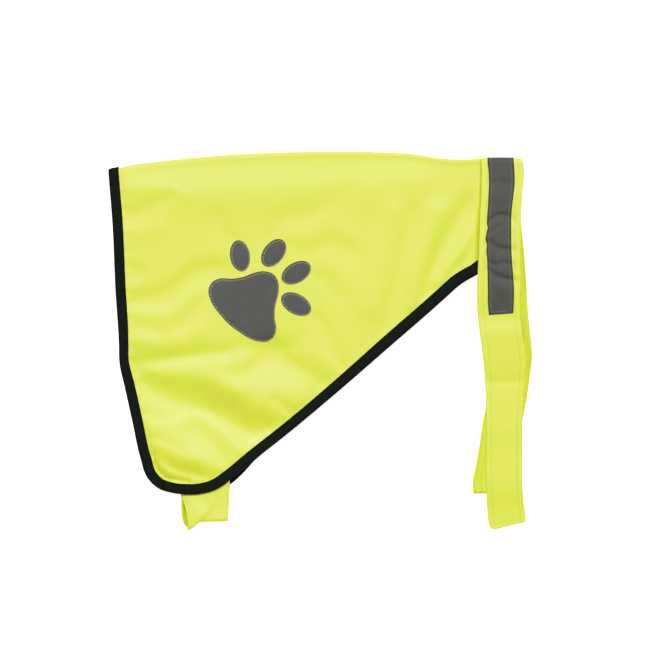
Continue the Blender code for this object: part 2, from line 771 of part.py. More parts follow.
def make_paw_piece(name, outline, panel, finish, collection, cutters):
    """A cut-out that lies on the near half: the cloth's own points moved out, trimmed to the outline."""
    outline = turned(outline, PAW_TURN) + np.array(PAW_PLACE)
    moved = panel + (CLOTH_WALL / 2 + GAP + PATCH_WALL / 2) * outward(panel)
    low = outline.min(axis=0) - PAW_MARGIN
    high = outline.max(axis=0) + PAW_MARGIN
    near = panel[: NEAR_ROWS + 1]
    inside = np.all((near[..., :2] > low) & (near[..., :2] < high), axis=-1)
    rows = np.flatnonzero(inside.any(axis=1))
    columns = np.flatnonzero(inside.any(axis=0))
    under = moved[rows[0] : rows[-1] + 1, columns[0] : columns[-1] + 1]
    made = cloth_object(name, under, PATCH_WALL, finish, collection)
    trim = made.modifiers.new("outline", "BOOLEAN")
    trim.operation = "INTERSECT"
    trim.object = make_cutter(name + "_outline", outline, cutters)


def main():
    for old in list(bpy.data.objects):
        bpy.data.objects.remove(old)
    vest = bpy.data.collections.new("dog_safety_vest")
    cutters = bpy.data.collections.new("cutters")
    bpy.context.scene.collection.children.link(vest)
    bpy.context.scene.collection.children.link(cutters)
    yellow = material("yellow_knit", YELLOW, 0.85)
    black = material("black_binding", BLACK, 0.8)
    grey = material("grey_reflective", GREY, 0.45)
    panel = panel_grid()
    strap = strap_grid()
    make_back_panel(panel, yellow, vest)
    make_edge_binding(panel, black, vest)
    make_neck_strap(strap, yellow, vest)
    make_neck_tape(strap, grey, vest)
    make_belly_strap(yellow, vest)
    make_paw_piece("paw_pad", pad_outline(), panel, grey, vest, cutters)
    for number, toe in enumerate(PAW_TOES, start=1):
        make_paw_piece(f"paw_toe_{number}", toe_outline(toe), panel, grey, vest, cutters)


main()
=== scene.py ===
import math
import bmesh
import bpy
import numpy as np
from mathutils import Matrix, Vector


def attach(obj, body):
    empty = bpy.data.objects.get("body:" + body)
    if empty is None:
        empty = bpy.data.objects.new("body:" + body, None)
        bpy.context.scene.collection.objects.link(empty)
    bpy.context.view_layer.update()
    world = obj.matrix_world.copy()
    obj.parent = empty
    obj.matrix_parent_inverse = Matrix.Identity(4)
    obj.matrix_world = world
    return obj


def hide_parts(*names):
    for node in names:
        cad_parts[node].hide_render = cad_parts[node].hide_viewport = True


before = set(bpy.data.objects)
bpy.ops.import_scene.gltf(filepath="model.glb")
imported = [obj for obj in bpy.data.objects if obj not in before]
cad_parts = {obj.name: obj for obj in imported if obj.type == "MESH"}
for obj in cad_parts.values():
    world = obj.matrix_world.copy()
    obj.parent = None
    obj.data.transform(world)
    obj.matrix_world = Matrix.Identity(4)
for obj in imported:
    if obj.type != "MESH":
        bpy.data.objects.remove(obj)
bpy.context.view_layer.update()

# A dog's safety vest, lying on a table and folded in two along the spine, seen from straight above.
# Seen so, the spine is at the top (+Y), the tail edge on the left (-X) and the neck strap on the right.
# Sizes are in millimetres and become metres when a mesh is made.

# --------------------------------------------------
# Back panel: one cut of bright yellow warp-knitted polyester, folded in two along the spine, so the near half lies
# on the far half. Its tail and slanting edges are bound and its neck edge is sewn to the strap, and the wrinkles
# run in from those seams.

MM = 0.001


def table(names, *rows):
    """A short table: a row for each place or wave, with named columns."""
    return [dict(zip(names.split(), row)) for row in rows]


CLOTH = 0.8  # thickness
SEAM_GAP = 0.05  # between this panel and the strap that it is sewn to
SEAM_DIP = 0.45  # the seam draws the cloth down
SEAM_DIP_WIDTH = 1.6
FAR_FLAT = CLOTH / 2
FAR_EDGE = 1.8  # the far half's bound edge is lifted by its binding
FAR_EDGE_EASE = 10.0
NEAR_HEIGHT = 7.2
BOUND = 9.3  # width of the binding
BOUND_INSET = 1.5  # the cloth stops this far inside the bound edge

# Outline of the spine from the tail to the neck
SPINE = table(
    "x y",
    (-211, 170), (-203, 172.2), (-190, 175.3), (-160, 179.3), (-100, 185.2), (-40, 188.2), (14, 189.2), (60, 188.4),
    (95, 186.3), (122, 182.3), (142, 181.2), (160, 182.4),
)

# Outline of the bound edge: down the tail, round the corner and up the slant to the neck: x, y
HEM = (
    (-211, 167.2), (-207, 117), (-204, 50), (-200.5, -4), (-200, -22), (-195, -45), (-187, -81), (-179, -117),
    (-172.5, -136), (-161, -147.2), (-147.6, -151.6), (-133, -153.2), (-119, -152.4), (-103.6, -148), (-87.4, -137),
    (-66.2, -119.4), (-41.2, -99.9), (15.9, -52.5), (71, -4.6), (110.4, 29.6), (125.2, 42.8), (140.4, 56.2),
    (158.5, 66.8),
)
CORNER = (-160.0, -147.6)
NECK_INSET_Y = 78.0  # where the binding's inner line meets the neck seam
NECK_TOP = 182.5

# The far half's corner lies further towards the neck, so its binding shows below the near one
FAR_HEM_SHIFT = table(
    "x shift",
    (-185, 0), (-176, 1), (-160, 3), (-120, 5.5), (-95, 6.5), (-81, 4.5), (-67, 1.2), (-50, 0),
)

# The neck seam, which is the strap's left edge
NECK_SEAM = table(
    "y x",
    (185, 161), (168, 161), (150, 160.8), (124, 159.6), (79, 158), (60, 157), (28, 157.3),
)

# Wrinkles of the near half: height above or below the cloth, widths to the left and right of the line when it is
# walked from its first point, and the points it runs through. All of them were fitted to the shading in the photo.
FOLDS = table(
    "height left right line",
    (1.38, 18.9, 25.5, ((-195, 154), (-120, 147), (-40, 151), (30, 152), (93, 158))),
    (0.10, 3.4, 2.5, ((-159, 164), (-145, 164), (-124, 167))),
    (0.42, 5.4, 10, ((-184, 153), (-160, 153), (-135, 147))),
    (-0.59, 7.8, 9.4, ((-198, 122), (-185, 126), (-170, 134), (-157, 140), (-149, 144))),
    (0.53, 8.9, 12.1, ((-196, 111), (-180, 108), (-161, 114))),
    (-0.78, 8.3, 9.3, ((-188, 71), (-181, 67))),
    (-1.32, 9.6, 18.6, ((-198, 37), (-178, 41), (-157, 46), (-139, 57), (-119, 70), (-104, 72))),
    (0.76, 8, 10.2, ((-198, 28), (-169, 27), (-149, 27), (-134, 38), (-123, 48))),
    (-0.39, 6, 6.8, ((-198, 15), (-172, 12), (-157, 5))),
    (-0.47, 9.5, 8.4, ((-135, 14), (-129, 28), (-117, 41))),
    (0.94, 11.1, 10.1, ((-198, 5), (-165, -1), (-140, 1), (-120, 9))),
    (-1.14, 7.7, 7.1, ((-200, -25), (-180, -22), (-149, -18), (-120, -14), (-93, -11))),
    (-0.90, 10.8, 7.8, ((-76, -7), (-50, -4), (-25, -7))),
    (1.05, 10.6, 11.2, ((-189, -23), (-161, -33), (-125, -34), (-103, -38), (-82, -50))),
    (2.28, 23.5, 25.5, ((-84, -43), (-56, -61), (-18, -47))),
    (-1.09, 9.4, 11, ((-90, -36), (-72, -31), (-57, -15))),
    (-2.76, 17.5, 13,
     ((-184, -34), (-164, -49), (-147, -58), (-123, -62), (-104, -70), (-89, -80), (-71, -89), (-54, -89))),
    (1.51, 8.2, 18.1, ((-178, -86), (-155, -87), (-140, -85), (-126, -78), (-107, -87), (-92, -96), (-81, -111))),
    (-0.64, 5.9, 5.3, ((-171, -95), (-155, -100), (-135, -110))),
    (-2.49, 17.7, 12.9, ((-123, -81), (-109, -105), (-96, -119))),
    (2.75, 17.1, 17.2, ((-172, -109), (-150, -109), (-134, -114), (-117, -118), (-99, -131))),
    (-1.20, 9.7, 4.2, ((-168, -108), (-154, -121), (-141, -129), (-121, -134), (-105, -136))),
    (-1.77, 15.6, 10, ((161, 145), (148, 134), (134, 113), (122, 91), (114, 69), (104, 41))),
    (1.51, 5.9, 8.4, ((158, 117), (150, 105), (142, 92), (129, 76), (118, 58))),
    (1.50, 12, 10.5, ((116, 128), (111, 112), (102, 87), (96, 62), (96, 39))),
    (-0.48, 9.4, 6.2, ((89, 128), (88, 110), (82, 85), (77, 59), (67, 31), (62, 4))),
    (1.31, 14.1, 15.7, ((73, 126), (65, 94), (58, 60), (51, 36))),
    (-0.48, 11.4, 10.5, ((26, 147), (4, 137), (-12, 128), (-32, 123), (-42, 117), (-51, 104))),
    (-0.29, 7.2, 9.3, ((-29, 94), (-12, 89), (4, 96), (18, 98), (36, 87))),
    (0.53, 11, 12, ((-27, 105), (-8, 107), (9, 116), (29, 107))),
    (-0.49, 7.1, 13.3, ((-102, 124), (-96, 109), (-82, 99))),
    (-0.31, 5.9, 6.9, ((-7, 65), (4, 62), (11, 53), (19, 43))),
    (0.38, 10.5, 10.6, ((4, 76), (25, 67), (37, 52))),
    (-0.64, 6.6, 7.4, ((-3, 22), (6, 8), (13, -11), (24, -27))),
    (-2.38, 11.5, 22.4, ((-39, -16), (-22, -30), (-8, -38), (5, -48))),
    (0.43, 12.5, 6.4, ((-26, -10), (-5, -12), (9, -22))),
    (-1.10, 8.1, 5.5, ((-44, -60), (-35, -67), (-28, -71))),
)
FOLD_AT_HEM = 0.35  # share of a wrinkle that reaches the bound edge
FOLD_FREE = 18.0  # distance from the bound edge where it has its full height
FOLD_FREE_OF_NECK = 14.0
FOLD_REACH = 3.2  # beyond this many widths a wrinkle has faded out

# Small puckers that the binding's seam draws into the cloth
PUCKERS = table(
    "length height start",
    (13.7, 0.16, 0), (8.3, 0.10, 1.3),
)
PUCKER_FADE = 7.0
PUCKER_START = 4.0

# The fold stands a little proud along the spine, from this far off the tail edge
SPINE_RISE = 0.55
SPINE_RISE_WIDTH = 9.0
SPINE_RISE_START = 40.0

CORNER_DIPS_START = (0.2, 2.6)  # they rise to full depth between these distances from the binding
# Two short dips beside the binding at the corner, where the cloth is eased round it
CORNER_DIPS = table(
    "height left right line",
    (-1.9, 4.6, 2.2, ((-168.3, -116), (-163.6, -128), (-153.6, -139.4))),
    (-1.6, 4, 2, ((-150, -138.6), (-141.5, -139.6), (-132.5, -141.6))),
)

# The near corner rises over the belly strap
BELLY_LIFT = 1.8
BELLY_LIFT_BOX = {"left": -143.0, "right": -84.0, "top": -122.0}
BELLY_LIFT_EASE = 38.0

BEND_DEPTH = 1.8  # the spine is bent round in an ellipse that reaches this far into the cloth
BEND_STEPS = 12

COLUMNS = 168
NEAR_ROWS = 146
FAR_ROWS = 34
FAR_GRADING = 1.4
BOUND_STEPS = 5
CORNER_STEP = 4.0


def smooth_value(at, places, values):
    """Values at the places asked for, on a smooth curve through a short table with rising places."""
    places = np.array(places, float)
    values = np.array(values, float)
    slopes = np.gradient(values, places, axis=0)
    at = np.clip(at, places[0], places[-1])
    span = np.clip(np.searchsorted(places, at, side="right") - 1, 0, len(places) - 2)
    step = places[span + 1] - places[span]
    part = (at - places[span]) / step
    if values.ndim == 2:
        step = step[:, None]
        part = part[:, None]
    rise = part * part * (3 - 2 * part)
    return (
        (1 - rise) * values[span]
        + rise * values[span + 1]
        + step * part * (1 - part) * ((1 - part) * slopes[span] - part * slopes[span + 1])
    )


def column(table, place, value, at):
    """One named column of a table of rows, read at the places asked for."""
    rows = sorted(table, key=lambda row: row[place])
    return smooth_value(at, [row[place] for row in rows], [row[value] for row in rows])


def lengths_of(points):
    """Distance walked along a line at each of its points, or up each column of a grid of points."""
    steps = np.linalg.norm(np.diff(points, axis=0), axis=-1)
    return np.concatenate([np.zeros((1, *steps.shape[1:])), np.cumsum(steps, axis=0)])


def smooth_line(knots, points_per_span=14):
    """A smooth line through a few knots."""
    knots = np.array(knots, float)
    places = lengths_of(knots)
    return smooth_value(np.linspace(0, places[-1], points_per_span * len(knots)), places, knots)


def along(line, lengths, values=None):
    """Points at the given distances along a line, or the values there, which are given at each of its points."""
    places = lengths_of(line)
    values = line if values is None else values
    return np.stack([np.interp(lengths, places, values[:, axis]) for axis in range(values.shape[1])], axis=-1)


def to_the_left(line, lengths):
    """Unit directions to the left of a line, at the given distances along it."""
    ahead = along(line, lengths + 1.0) - along(line, lengths - 1.0)
    ahead /= np.linalg.norm(ahead, axis=1, keepdims=True)
    return np.stack([-ahead[:, 1], ahead[:, 0]], axis=-1)


def measure_from(line, points):
    """Each point's distance from a line, its side (1 left, -1 right), and how far along the line it is."""
    nearest = np.full(points.shape[:-1], np.inf)
    side = np.zeros(points.shape[:-1])
    length = np.zeros(points.shape[:-1])
    for start, end, start_length in zip(line[:-1], line[1:], lengths_of(line)):
        run = end - start
        size = np.linalg.norm(run)
        share = np.clip(((points - start) @ run) / size**2, 0, 1)
        off = points - start - share[..., None] * run
        distance = np.linalg.norm(off, axis=-1)
        closer = distance < nearest
        nearest = np.where(closer, distance, nearest)
        side = np.where(closer, (run[0] * off[..., 1] - run[1] * off[..., 0]) / size, side)
        length = np.where(closer, start_length + share * size, length)
    return nearest, side / np.maximum(nearest, 1e-6), length


def ease(start, end, value):
    """0 before start, 1 after end, and a soft rise between."""
    share = np.clip((value - start) / (end - start), 0, 1)
    return share * share * (3 - 2 * share)


def wrinkle_heights(folds, plan):
    """Sum of a table's wrinkles over points of a plan."""
    total = np.zeros(plan.shape[:-1])
    for fold in folds:
        line = smooth_line(fold["line"], 5)
        reach = FOLD_REACH * max(fold["left"], fold["right"])
        near = np.all((plan > line.min(axis=0) - reach) & (plan < line.max(axis=0) + reach), axis=-1)
        distance, side, _ = measure_from(line, plan[near])
        width = (fold["left"] + fold["right"]) / 2 + side * (fold["left"] - fold["right"]) / 2
        total[near] += fold["height"] * np.exp(-((distance / width) ** 2))
    return total


def waves(rows, lengths):
    """Sum of a table's waves at the given distances along a seam."""
    return sum(row["height"] * np.sin(2 * math.pi * lengths / row["length"] + row["start"]) for row in rows)


HEM_LINE = smooth_line(HEM)
FAR_HEM_LINE = HEM_LINE.copy()
FAR_HEM_LINE[:, 0] += column(FAR_HEM_SHIFT, "x", "shift", HEM_LINE[:, 0])


def neck_seam_x(y):
    """The cloth's neck edge, a gap away from the strap's left edge."""
    return column(NECK_SEAM, "y", "x", y) - SEAM_GAP


def near_height(plan):
    """Height of the near half's middle above the table, over points of its plan."""
    from_hem, _, hem_length = measure_from(HEM_LINE, plan)
    from_neck = neck_seam_x(plan[..., 1]) - plan[..., 0]
    free = FOLD_AT_HEM + (1 - FOLD_AT_HEM) * ease(BOUND, FOLD_FREE, from_hem)
    free = free * ease(0, FOLD_FREE_OF_NECK, from_neck)
    pucker = waves(PUCKERS, hem_length) * np.exp(-np.abs(from_hem - BOUND) / PUCKER_FADE)
    pucker = pucker * ease(0, PUCKER_START, from_hem)
    box = BELLY_LIFT_BOX
    aside = np.maximum(0, np.maximum(box["left"] - plan[..., 0], plan[..., 0] - box["right"]))
    above = np.maximum(0, plan[..., 1] - box["top"])
    lift = BELLY_LIFT * (1 - ease(0, BELLY_LIFT_EASE, np.hypot(aside, above)))
    dip = SEAM_DIP * (1 - ease(0, SEAM_DIP_WIDTH, from_neck))
    dips_start, dips_full = CORNER_DIPS_START
    dips = ease(BOUND + dips_start, BOUND + dips_full, from_hem) * wrinkle_heights(CORNER_DIPS, plan)
    wrinkles = free * wrinkle_heights(FOLDS, plan) + dips
    from_spine = column(SPINE, "x", "y", plan[..., 0]) - plan[..., 1]
    rise = SPINE_RISE * (1 - ease(0, SPINE_RISE_WIDTH, from_spine))
    rise = rise * ease(0, SPINE_RISE_START, plan[..., 0] - SPINE[0]["x"])
    return NEAR_HEIGHT + wrinkles + pucker + lift + rise - dip


def far_height(plan):
    """Height of the far half's middle: flat on the table, and raised at its bound edge."""
    from_hem, _, _ = measure_from(FAR_HEM_LINE, plan)
    from_neck = neck_seam_x(plan[..., 1]) - plan[..., 0] + BOUND
    return FAR_EDGE - (FAR_EDGE - FAR_FLAT) * ease(BOUND, BOUND + FAR_EDGE_EASE, np.minimum(from_hem, from_neck))


def bend_start_y(x):
    """Where the cloth begins to bend round the spine."""
    return column(SPINE, "x", "y", x) - CLOTH / 2 - BEND_DEPTH


def blend_edges(left, right, bottom, top, up, across):
    """Fills a four-sided patch from its four edges."""
    up = up[:, None, None]
    across = across[None, :, None]
    sides = (1 - across) * left[:, None] + across * right[:, None]
    ends = (1 - up) * bottom[None] + up * top[None]
    low = (1 - across) * left[0] + across * right[0]
    high = (1 - across) * left[-1] + across * right[-1]
    return sides + ends - ((1 - up) * low + up * high)


def divide_first(grid, steps):
    """Divides the first row of cells of a grid of points."""
    share = np.linspace(0, 1, steps + 1)[:-1, None, None]
    return np.concatenate([grid[0] + (grid[1] - grid[0]) * share, grid[1:]])


def half_plan(hem, rows, grading):
    """Plan of one half: rows from the hem to the spine, columns from the tail to the neck.

    The first rows and columns lie under the binding, from the cloth's own edge to the binding's inner line.
    """
    places = lengths_of(hem)
    corner = places[np.argmin(np.linalg.norm(hem - np.array(CORNER), axis=1))]
    up = np.linspace(0, 1, rows) ** grading
    across = np.linspace(0, 1, COLUMNS)
    tail = corner * (1 - up)
    slant = corner + (places[-1] - corner) * across
    left = along(hem, tail) + BOUND * to_the_left(hem, tail)
    bottom = along(hem, slant) + BOUND * to_the_left(hem, slant)
    bottom[-1] = neck_seam_x(np.array(NECK_INSET_Y)), NECK_INSET_Y
    top_x = left[-1, 0] + (neck_seam_x(np.array(NECK_TOP)) - left[-1, 0]) * across
    top = np.stack([top_x, bend_start_y(top_x)], axis=-1)
    left[-1] = top[0]
    right_y = NECK_INSET_Y + (top[-1, 1] - NECK_INSET_Y) * up
    right = np.stack([neck_seam_x(right_y), right_y], axis=-1)
    plan = np.empty((rows + 1, COLUMNS + 1, 2))
    plan[1:, 1:] = blend_edges(left, right, bottom, top, up, across)
    tail[0] = corner - CORNER_STEP
    slant[0] = corner + CORNER_STEP
    plan[1:, 0] = along(hem, tail) + BOUND_INSET * to_the_left(hem, tail)
    plan[0, 1:] = along(hem, slant) + BOUND_INSET * to_the_left(hem, slant)
    at_corner = np.array([corner])
    plan[0, 0] = (along(hem, at_corner) + BOUND_INSET * to_the_left(hem, at_corner))[0]
    plan[-1, 0, 1] = bend_start_y(plan[-1, 0, 0])
    plan[0, -1, 0] = neck_seam_x(plan[0, -1, 1])
    plan = divide_first(plan, BOUND_STEPS)
    return divide_first(plan.swapaxes(0, 1), BOUND_STEPS).swapaxes(0, 1)


def bend_rows(near_row, far_row, depth, steps):
    """Rows of a half ellipse that joins the near layer to the far one, towards +Y, or -Y if depth is below 0."""
    rows = []
    for turn in np.linspace(math.pi / 2, -math.pi / 2, steps + 1)[1:-1]:
        row = near_row + (far_row - near_row) * (1 - math.sin(turn)) / 2
        row[:, 1] += depth * math.cos(turn)
        rows.append(row)
    return np.array(rows)


def with_height(plan, height):
    return np.concatenate([plan, height[..., None]], axis=-1)


def grid_bmesh(points):
    """A bmesh grid that runs through an array of points, in metres."""
    rows, columns = points.shape[:2]
    mesh = bmesh.new()
    grid = bmesh.ops.create_grid(mesh, x_segments=columns - 1, y_segments=rows - 1)
    for vertex, point in zip(grid["verts"], points.reshape(-1, 3)):
        vertex.co = point * MM
    mesh.normal_update()
    return mesh


def outward(points):
    """Unit directions out of the cloth at each point of its grid: up on the near half, down on the far one."""
    mesh = grid_bmesh(points)
    normals = np.array([vertex.normal for vertex in mesh.verts]).reshape(points.shape)
    mesh.free()
    return normals


def cut_map(across, points):
    """A UV map of a band's cut: the place across it and the length walked up it."""
    return np.stack(np.broadcast_arrays(across[None], lengths_of(points)), axis=-1)


def add_object(name, data):
    made = bpy.data.objects.new(name, data)
    bpy.context.scene.collection.objects.link(made)
    return made


def sheet_piece(name, points, thickness, material, maps, closed=False):
    """A sheet of cloth through a grid of points, with a wall to each side and UV maps in millimetres."""
    mesh = grid_bmesh(points)
    for title, values in maps.items():
        layer = mesh.loops.layers.uv.new(title)
        values = values.reshape(-1, 2)
        mesh.verts.index_update()
        for face in mesh.faces:
            for loop in face.loops:
                loop[layer].uv = values[loop.vert.index]
    if closed:
        bmesh.ops.remove_doubles(mesh, verts=mesh.verts, dist=0.01 * MM)
    data = bpy.data.meshes.new(name)
    mesh.to_mesh(data)
    mesh.free()
    data.materials.append(material)
    data.shade_smooth()
    piece = add_object(name, data)
    wall = piece.modifiers.new("wall", "SOLIDIFY")
    wall.thickness = thickness * MM
    wall.offset = 0.0
    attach(piece, "root")
    return piece


class Wire:
    """A socket in a material. Sums on it add Math nodes, and node() adds a node of any other kind."""

    def __init__(self, tree, socket=None):
        self.tree = tree
        self.socket = socket

    def node(self, kind, settings, inputs, output=0):
        made = self.tree.nodes.new(kind)
        for name, value in settings.items():
            setattr(made, name, value)
        for name, value in inputs.items():
            if isinstance(value, Wire):
                self.tree.links.new(value.socket, made.inputs[name])
            else:
                made.inputs[name].default_value = value
        return Wire(self.tree, made.outputs[output])

    def math(self, operation, first, second=0.0):
        return self.node("ShaderNodeMath", {"operation": operation}, {0: first, 1: second})

    def mix(self, factor, first, second):
        """A colour between two colours."""
        settings = {"data_type": "RGBA"}
        return self.node("ShaderNodeMix", settings, {0: factor, 6: first, 7: second}, 2)

    def map_point(self, title, scale=(1.0, 1.0, 1.0)):
        """A place on a UV map in millimetres, scaled."""
        place = self.node("ShaderNodeUVMap", {"uv_map": title}, {})
        return self.node("ShaderNodeMapping", {}, {"Vector": place, "Scale": scale})

    def map_parts(self, title):
        """The two distances of a UV map, in millimetres."""
        point = self.map_point(title)
        return tuple(self.node("ShaderNodeSeparateXYZ", {}, {0: point}, axis) for axis in (0, 1))

    def __add__(self, other):
        return self.math("ADD", self, other)

    __radd__ = __add__

    def __sub__(self, other):
        return self.math("SUBTRACT", self, other)

    def __rsub__(self, other):
        return self.math("SUBTRACT", other, self)

    def __mul__(self, other):
        return self.math("MULTIPLY", self, other)

    __rmul__ = __mul__

    def __truediv__(self, other):
        return self.math("DIVIDE", self, other)

    def part_of_one(self):
        return self.math("FRACT", self)

    def size(self):
        return self.math("ABSOLUTE", self)

    def wave(self):
        """A sine with one turn for each whole number."""
        return self.math("SINE", self * (2 * math.pi))

    def noise(self, title, by_u, by_v, detail=2.0):
        """Soft noise over a UV map, scaled each way."""
        place = self.map_point(title, (by_u, by_v, 1.0))
        return self.node("ShaderNodeTexNoise", {}, {"Vector": place, "Scale": 1.0, "Detail": detail})

    def bump(self, strength, distance):
        """A normal from this height, with its distance in millimetres."""
        return self.node("ShaderNodeBump", {}, {"Strength": strength, "Distance": distance * MM, "Height": self})

    def clipped(self, low, high):
        """0 below low, 1 above high, and a straight rise between."""
        return self.node("ShaderNodeMapRange", {"clamp": True}, {0: self, 1: low, 2: high})


def start_material(name, constants):
    """A new material, its Principled shader with the constants set, and a wire to build from."""
    material = bpy.data.materials.new(name)
    material.use_nodes = True
    shader = material.node_tree.nodes["Principled BSDF"]
    for socket, value in constants.items():
        shader.inputs[socket].default_value = value
    return material, shader, Wire(material.node_tree)


def plug_in(wire, shader, sockets):
    for name, value in sockets.items():
        wire.tree.links.new(value.socket, shader.inputs[name])


# Fluorescent yellow knit: fine wales that run with v, each a column of small V-shaped loops
YELLOW = (0.712, 0.789, 0.015)
# A deeper yellow, painted into the low parts of the stitches as shade in the knit's grooves
YELLOW_GROOVE_SHADE = (0.642, 0.742, 0.004)
YELLOW_PALE = (0.742, 0.806, 0.029)
WALE = 1.25
COURSE = 1.05

yellow, shader, wire = start_material("yellow_knit", {"IOR": 1.54, "Specular IOR Level": 1.0})
u, v = wire.map_parts("Cut")
from_wale = ((u / WALE).part_of_one() - 0.5).size() * 2
loops = (v / COURSE + from_wale * 0.45).wave()
stitch_height = (1 - from_wale * from_wale) * 0.65 + loops * 0.25
patches = wire.noise("Cut", 0.11, 0.07)
slubs = wire.noise("Cut", 0.8, 0.07)
# Painted shade: the knit's low parts, between the wales and loops, take the deeper yellow
tone = wire.mix(stitch_height.clipped(0.0, 0.6), (*YELLOW_GROOVE_SHADE, 1), (*YELLOW, 1))
tone = wire.mix(patches.clipped(0.35, 0.75) * 0.35 + slubs.clipped(0.4, 0.8) * 0.25, tone, (*YELLOW_PALE, 1))
knit_bump = (stitch_height + slubs * 0.3).bump(0.35, 0.25)
roughness = 0.42 + patches * 0.08
plug_in(wire, shader, {"Base Color": tone, "Normal": knit_bump, "Roughness": roughness})

near_plan = half_plan(HEM_LINE, NEAR_ROWS, 1.0)
far_plan = half_plan(FAR_HEM_LINE, FAR_ROWS, FAR_GRADING)
far_plan[-1] = near_plan[-1]
near = with_height(near_plan, near_height(near_plan))
far = with_height(far_plan, far_height(far_plan))
bend = bend_rows(near[-1], far[-1], BEND_DEPTH, BEND_STEPS)
panel = np.concatenate([near, bend, far[::-1]])
panel_cut = np.stack([panel[..., 0], lengths_of(panel)], axis=-1)
back_panel = sheet_piece("back_panel_cloth", panel, CLOTH, yellow, {"Cut": panel_cut})
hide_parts("back_panel")

# --------------------------------------------------
# Paw motif: a pad and four toes cut from grey retro-reflective film, sewn flat on the near half with one line of
# pale grey stitches set across each edge.

PAW_PLACE = (-78.0, 30.0)
PAW_TURN = -42.0
PAW_TOES = table(
    "across along half_width half_length tilt",
    (-38, 39.5, 9.8, 15.5, 50.2), (-15, 64.1, 10, 15.7, 4.2), (14.9, 64.5, 9.9, 15.9, -17.5),
    (35.8, 41.2, 10, 16.1, -76.9),
)
TOE_SIDES = 60
# One side of the pad from its base to its top: across, along
PAD_SIDE = (
    (0, -18.5), (15.6, -17), (23.5, -15.5), (31, -12.5), (38.3, -7), (40.9, 1.3), (37.2, 10), (29.4, 16.3),
    (21.6, 25.7), (15.6, 37), (10.8, 43.2), (4, 47.4), (0, 48.2),
)
PAD_SIDES = 150
PAD_MIDDLE = (0.0, 10.0)
PATCH_WALL = 0.35
PATCH_RAISED = 0.28  # its middle above the cloth's outer face
# How far in from the edge each ring lies, and how much it is raised, or drawn down by the seam
PATCH_EDGE = (
    (0, -0.08), (0.35, -0.06), (0.9, -0.06), (1.5, -0.07), (2.2, -0.06), (2.8, 0.02), (3.6, 0.06), (4.6, 0.06),
)
PATCH_SHARES = (0.86, 0.7, 0.54, 0.38, 0.22, 0.1, 0.0)
GREY = (0.057, 0.061, 0.054)
GREY_PALE = (0.078, 0.081, 0.072)
GREY_EDGE = (0.016, 0.017, 0.010)
GREY_THREAD = (0.50, 0.45, 0.40)
ACROSS = (0.15, 2.15)  # where the stitches across its edge start and end, from the film's edge
ACROSS_PITCH = 2.2
ACROSS_UNEVEN = 0.2  # share of the pitch that a stitch may stray by
ACROSS_THREAD = 0.95
ACROSS_SLIP = (0.55, -0.55)  # the seam lies a little aside of the film
STITCH_LENGTH = 2.7
STITCH_PITCH = 3.2
THREAD = 0.34
# Points of one stitch: place along it, height in threads, and thickness there
STITCH_FORM = ((0.0, -0.45, 0.45), (0.2, 0.0, 1.0), (0.8, 0.0, 1.0), (1.0, -0.45, 0.45))


def turned(points, degrees):
    angle = math.radians(degrees)
    turn = np.array([[math.cos(angle), math.sin(angle)], [-math.sin(angle), math.cos(angle)]])
    return points @ turn


def inset_outline(outline, distance):
    """A closed outline moved in."""
    ahead = np.roll(outline, -1, axis=0) - np.roll(outline, 1, axis=0)
    ahead /= np.linalg.norm(ahead, axis=1, keepdims=True)
    return outline + distance * np.stack([-ahead[:, 1], ahead[:, 0]], axis=-1)


def on_near_half(plan, height):
    """Points above the near half's outer face."""
    return with_height(plan, near_height(plan) + CLOTH / 2 + height)


def near_facing(plan):
    """Directions out of the near half."""
    step = 0.5
    aside = np.array([step, 0.0])
    up = np.array([0.0, step])
    slope_x = (near_height(plan + aside) - near_height(plan - aside)) / (2 * step)
    slope_y = (near_height(plan + up) - near_height(plan - up)) / (2 * step)
    facing = np.stack([-slope_x, -slope_y, np.ones_like(slope_x)], axis=-1)
    return facing / np.linalg.norm(facing, axis=-1, keepdims=True)


def running_stitches(line, out):
    """Starts and ends of the stitches of a straight seam, and the directions that face out of the cloth there."""
    middles = np.arange(STITCH_PITCH / 2, lengths_of(line)[-1] - STITCH_PITCH / 2, STITCH_PITCH)
    half = STITCH_LENGTH / 2
    return along(line, middles - half), along(line, middles + half), along(line, middles, out)


def stitches_piece(name, seams, material, replaces, thread=THREAD):
    """Short rounded stitches. Each seam gives their starts and ends, and the directions that face out there."""
    curve = bpy.data.curves.new(name, "CURVE")
    curve.dimensions = "3D"
    curve.bevel_depth = thread / 2 * MM
    curve.bevel_resolution = 1
    curve.use_fill_caps = True
    for starts, ends, out in seams:
        for start, end, up in zip(starts, ends, out):
            spline = curve.splines.new("POLY")
            spline.points.add(len(STITCH_FORM) - 1)
            for point, (share, depth, width) in zip(spline.points, STITCH_FORM):
                point.co = (*((start + (end - start) * share + up * depth * thread) * MM), 1.0)
                point.radius = width
    drawn = bpy.data.objects.new(name + "_drawn", curve)
    data = bpy.data.meshes.new_from_object(drawn)
    data.name = name
    bpy.data.objects.remove(drawn)
    mesh = bmesh.new()
    mesh.from_mesh(data)
    bmesh.ops.remove_doubles(mesh, verts=mesh.verts, dist=0.001 * MM)
    bmesh.ops.recalc_face_normals(mesh, faces=mesh.faces)
    mesh.to_mesh(data)
    mesh.free()
    data.materials.clear()
    data.materials.append(material)
    data.shade_smooth()
    piece = add_object(name, data)
    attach(piece, "root")
    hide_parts(replaces)
    return piece


def thread_material(name, colour, roughness):
    material, shader, wire = start_material(name, {"Roughness": roughness, "Specular IOR Level": 0.25})
    place = wire.node("ShaderNodeTexCoord", {}, {}, "Object")
    twist = wire.node("ShaderNodeTexNoise", {}, {"Vector": place, "Scale": 900.0, "Detail": 1.0})
    dark = tuple(part * 0.7 for part in colour)
    plug_in(wire, shader, {"Base Color": wire.mix(twist.clipped(0.35, 0.65), (*dark, 1), (*colour, 1))})
    return material


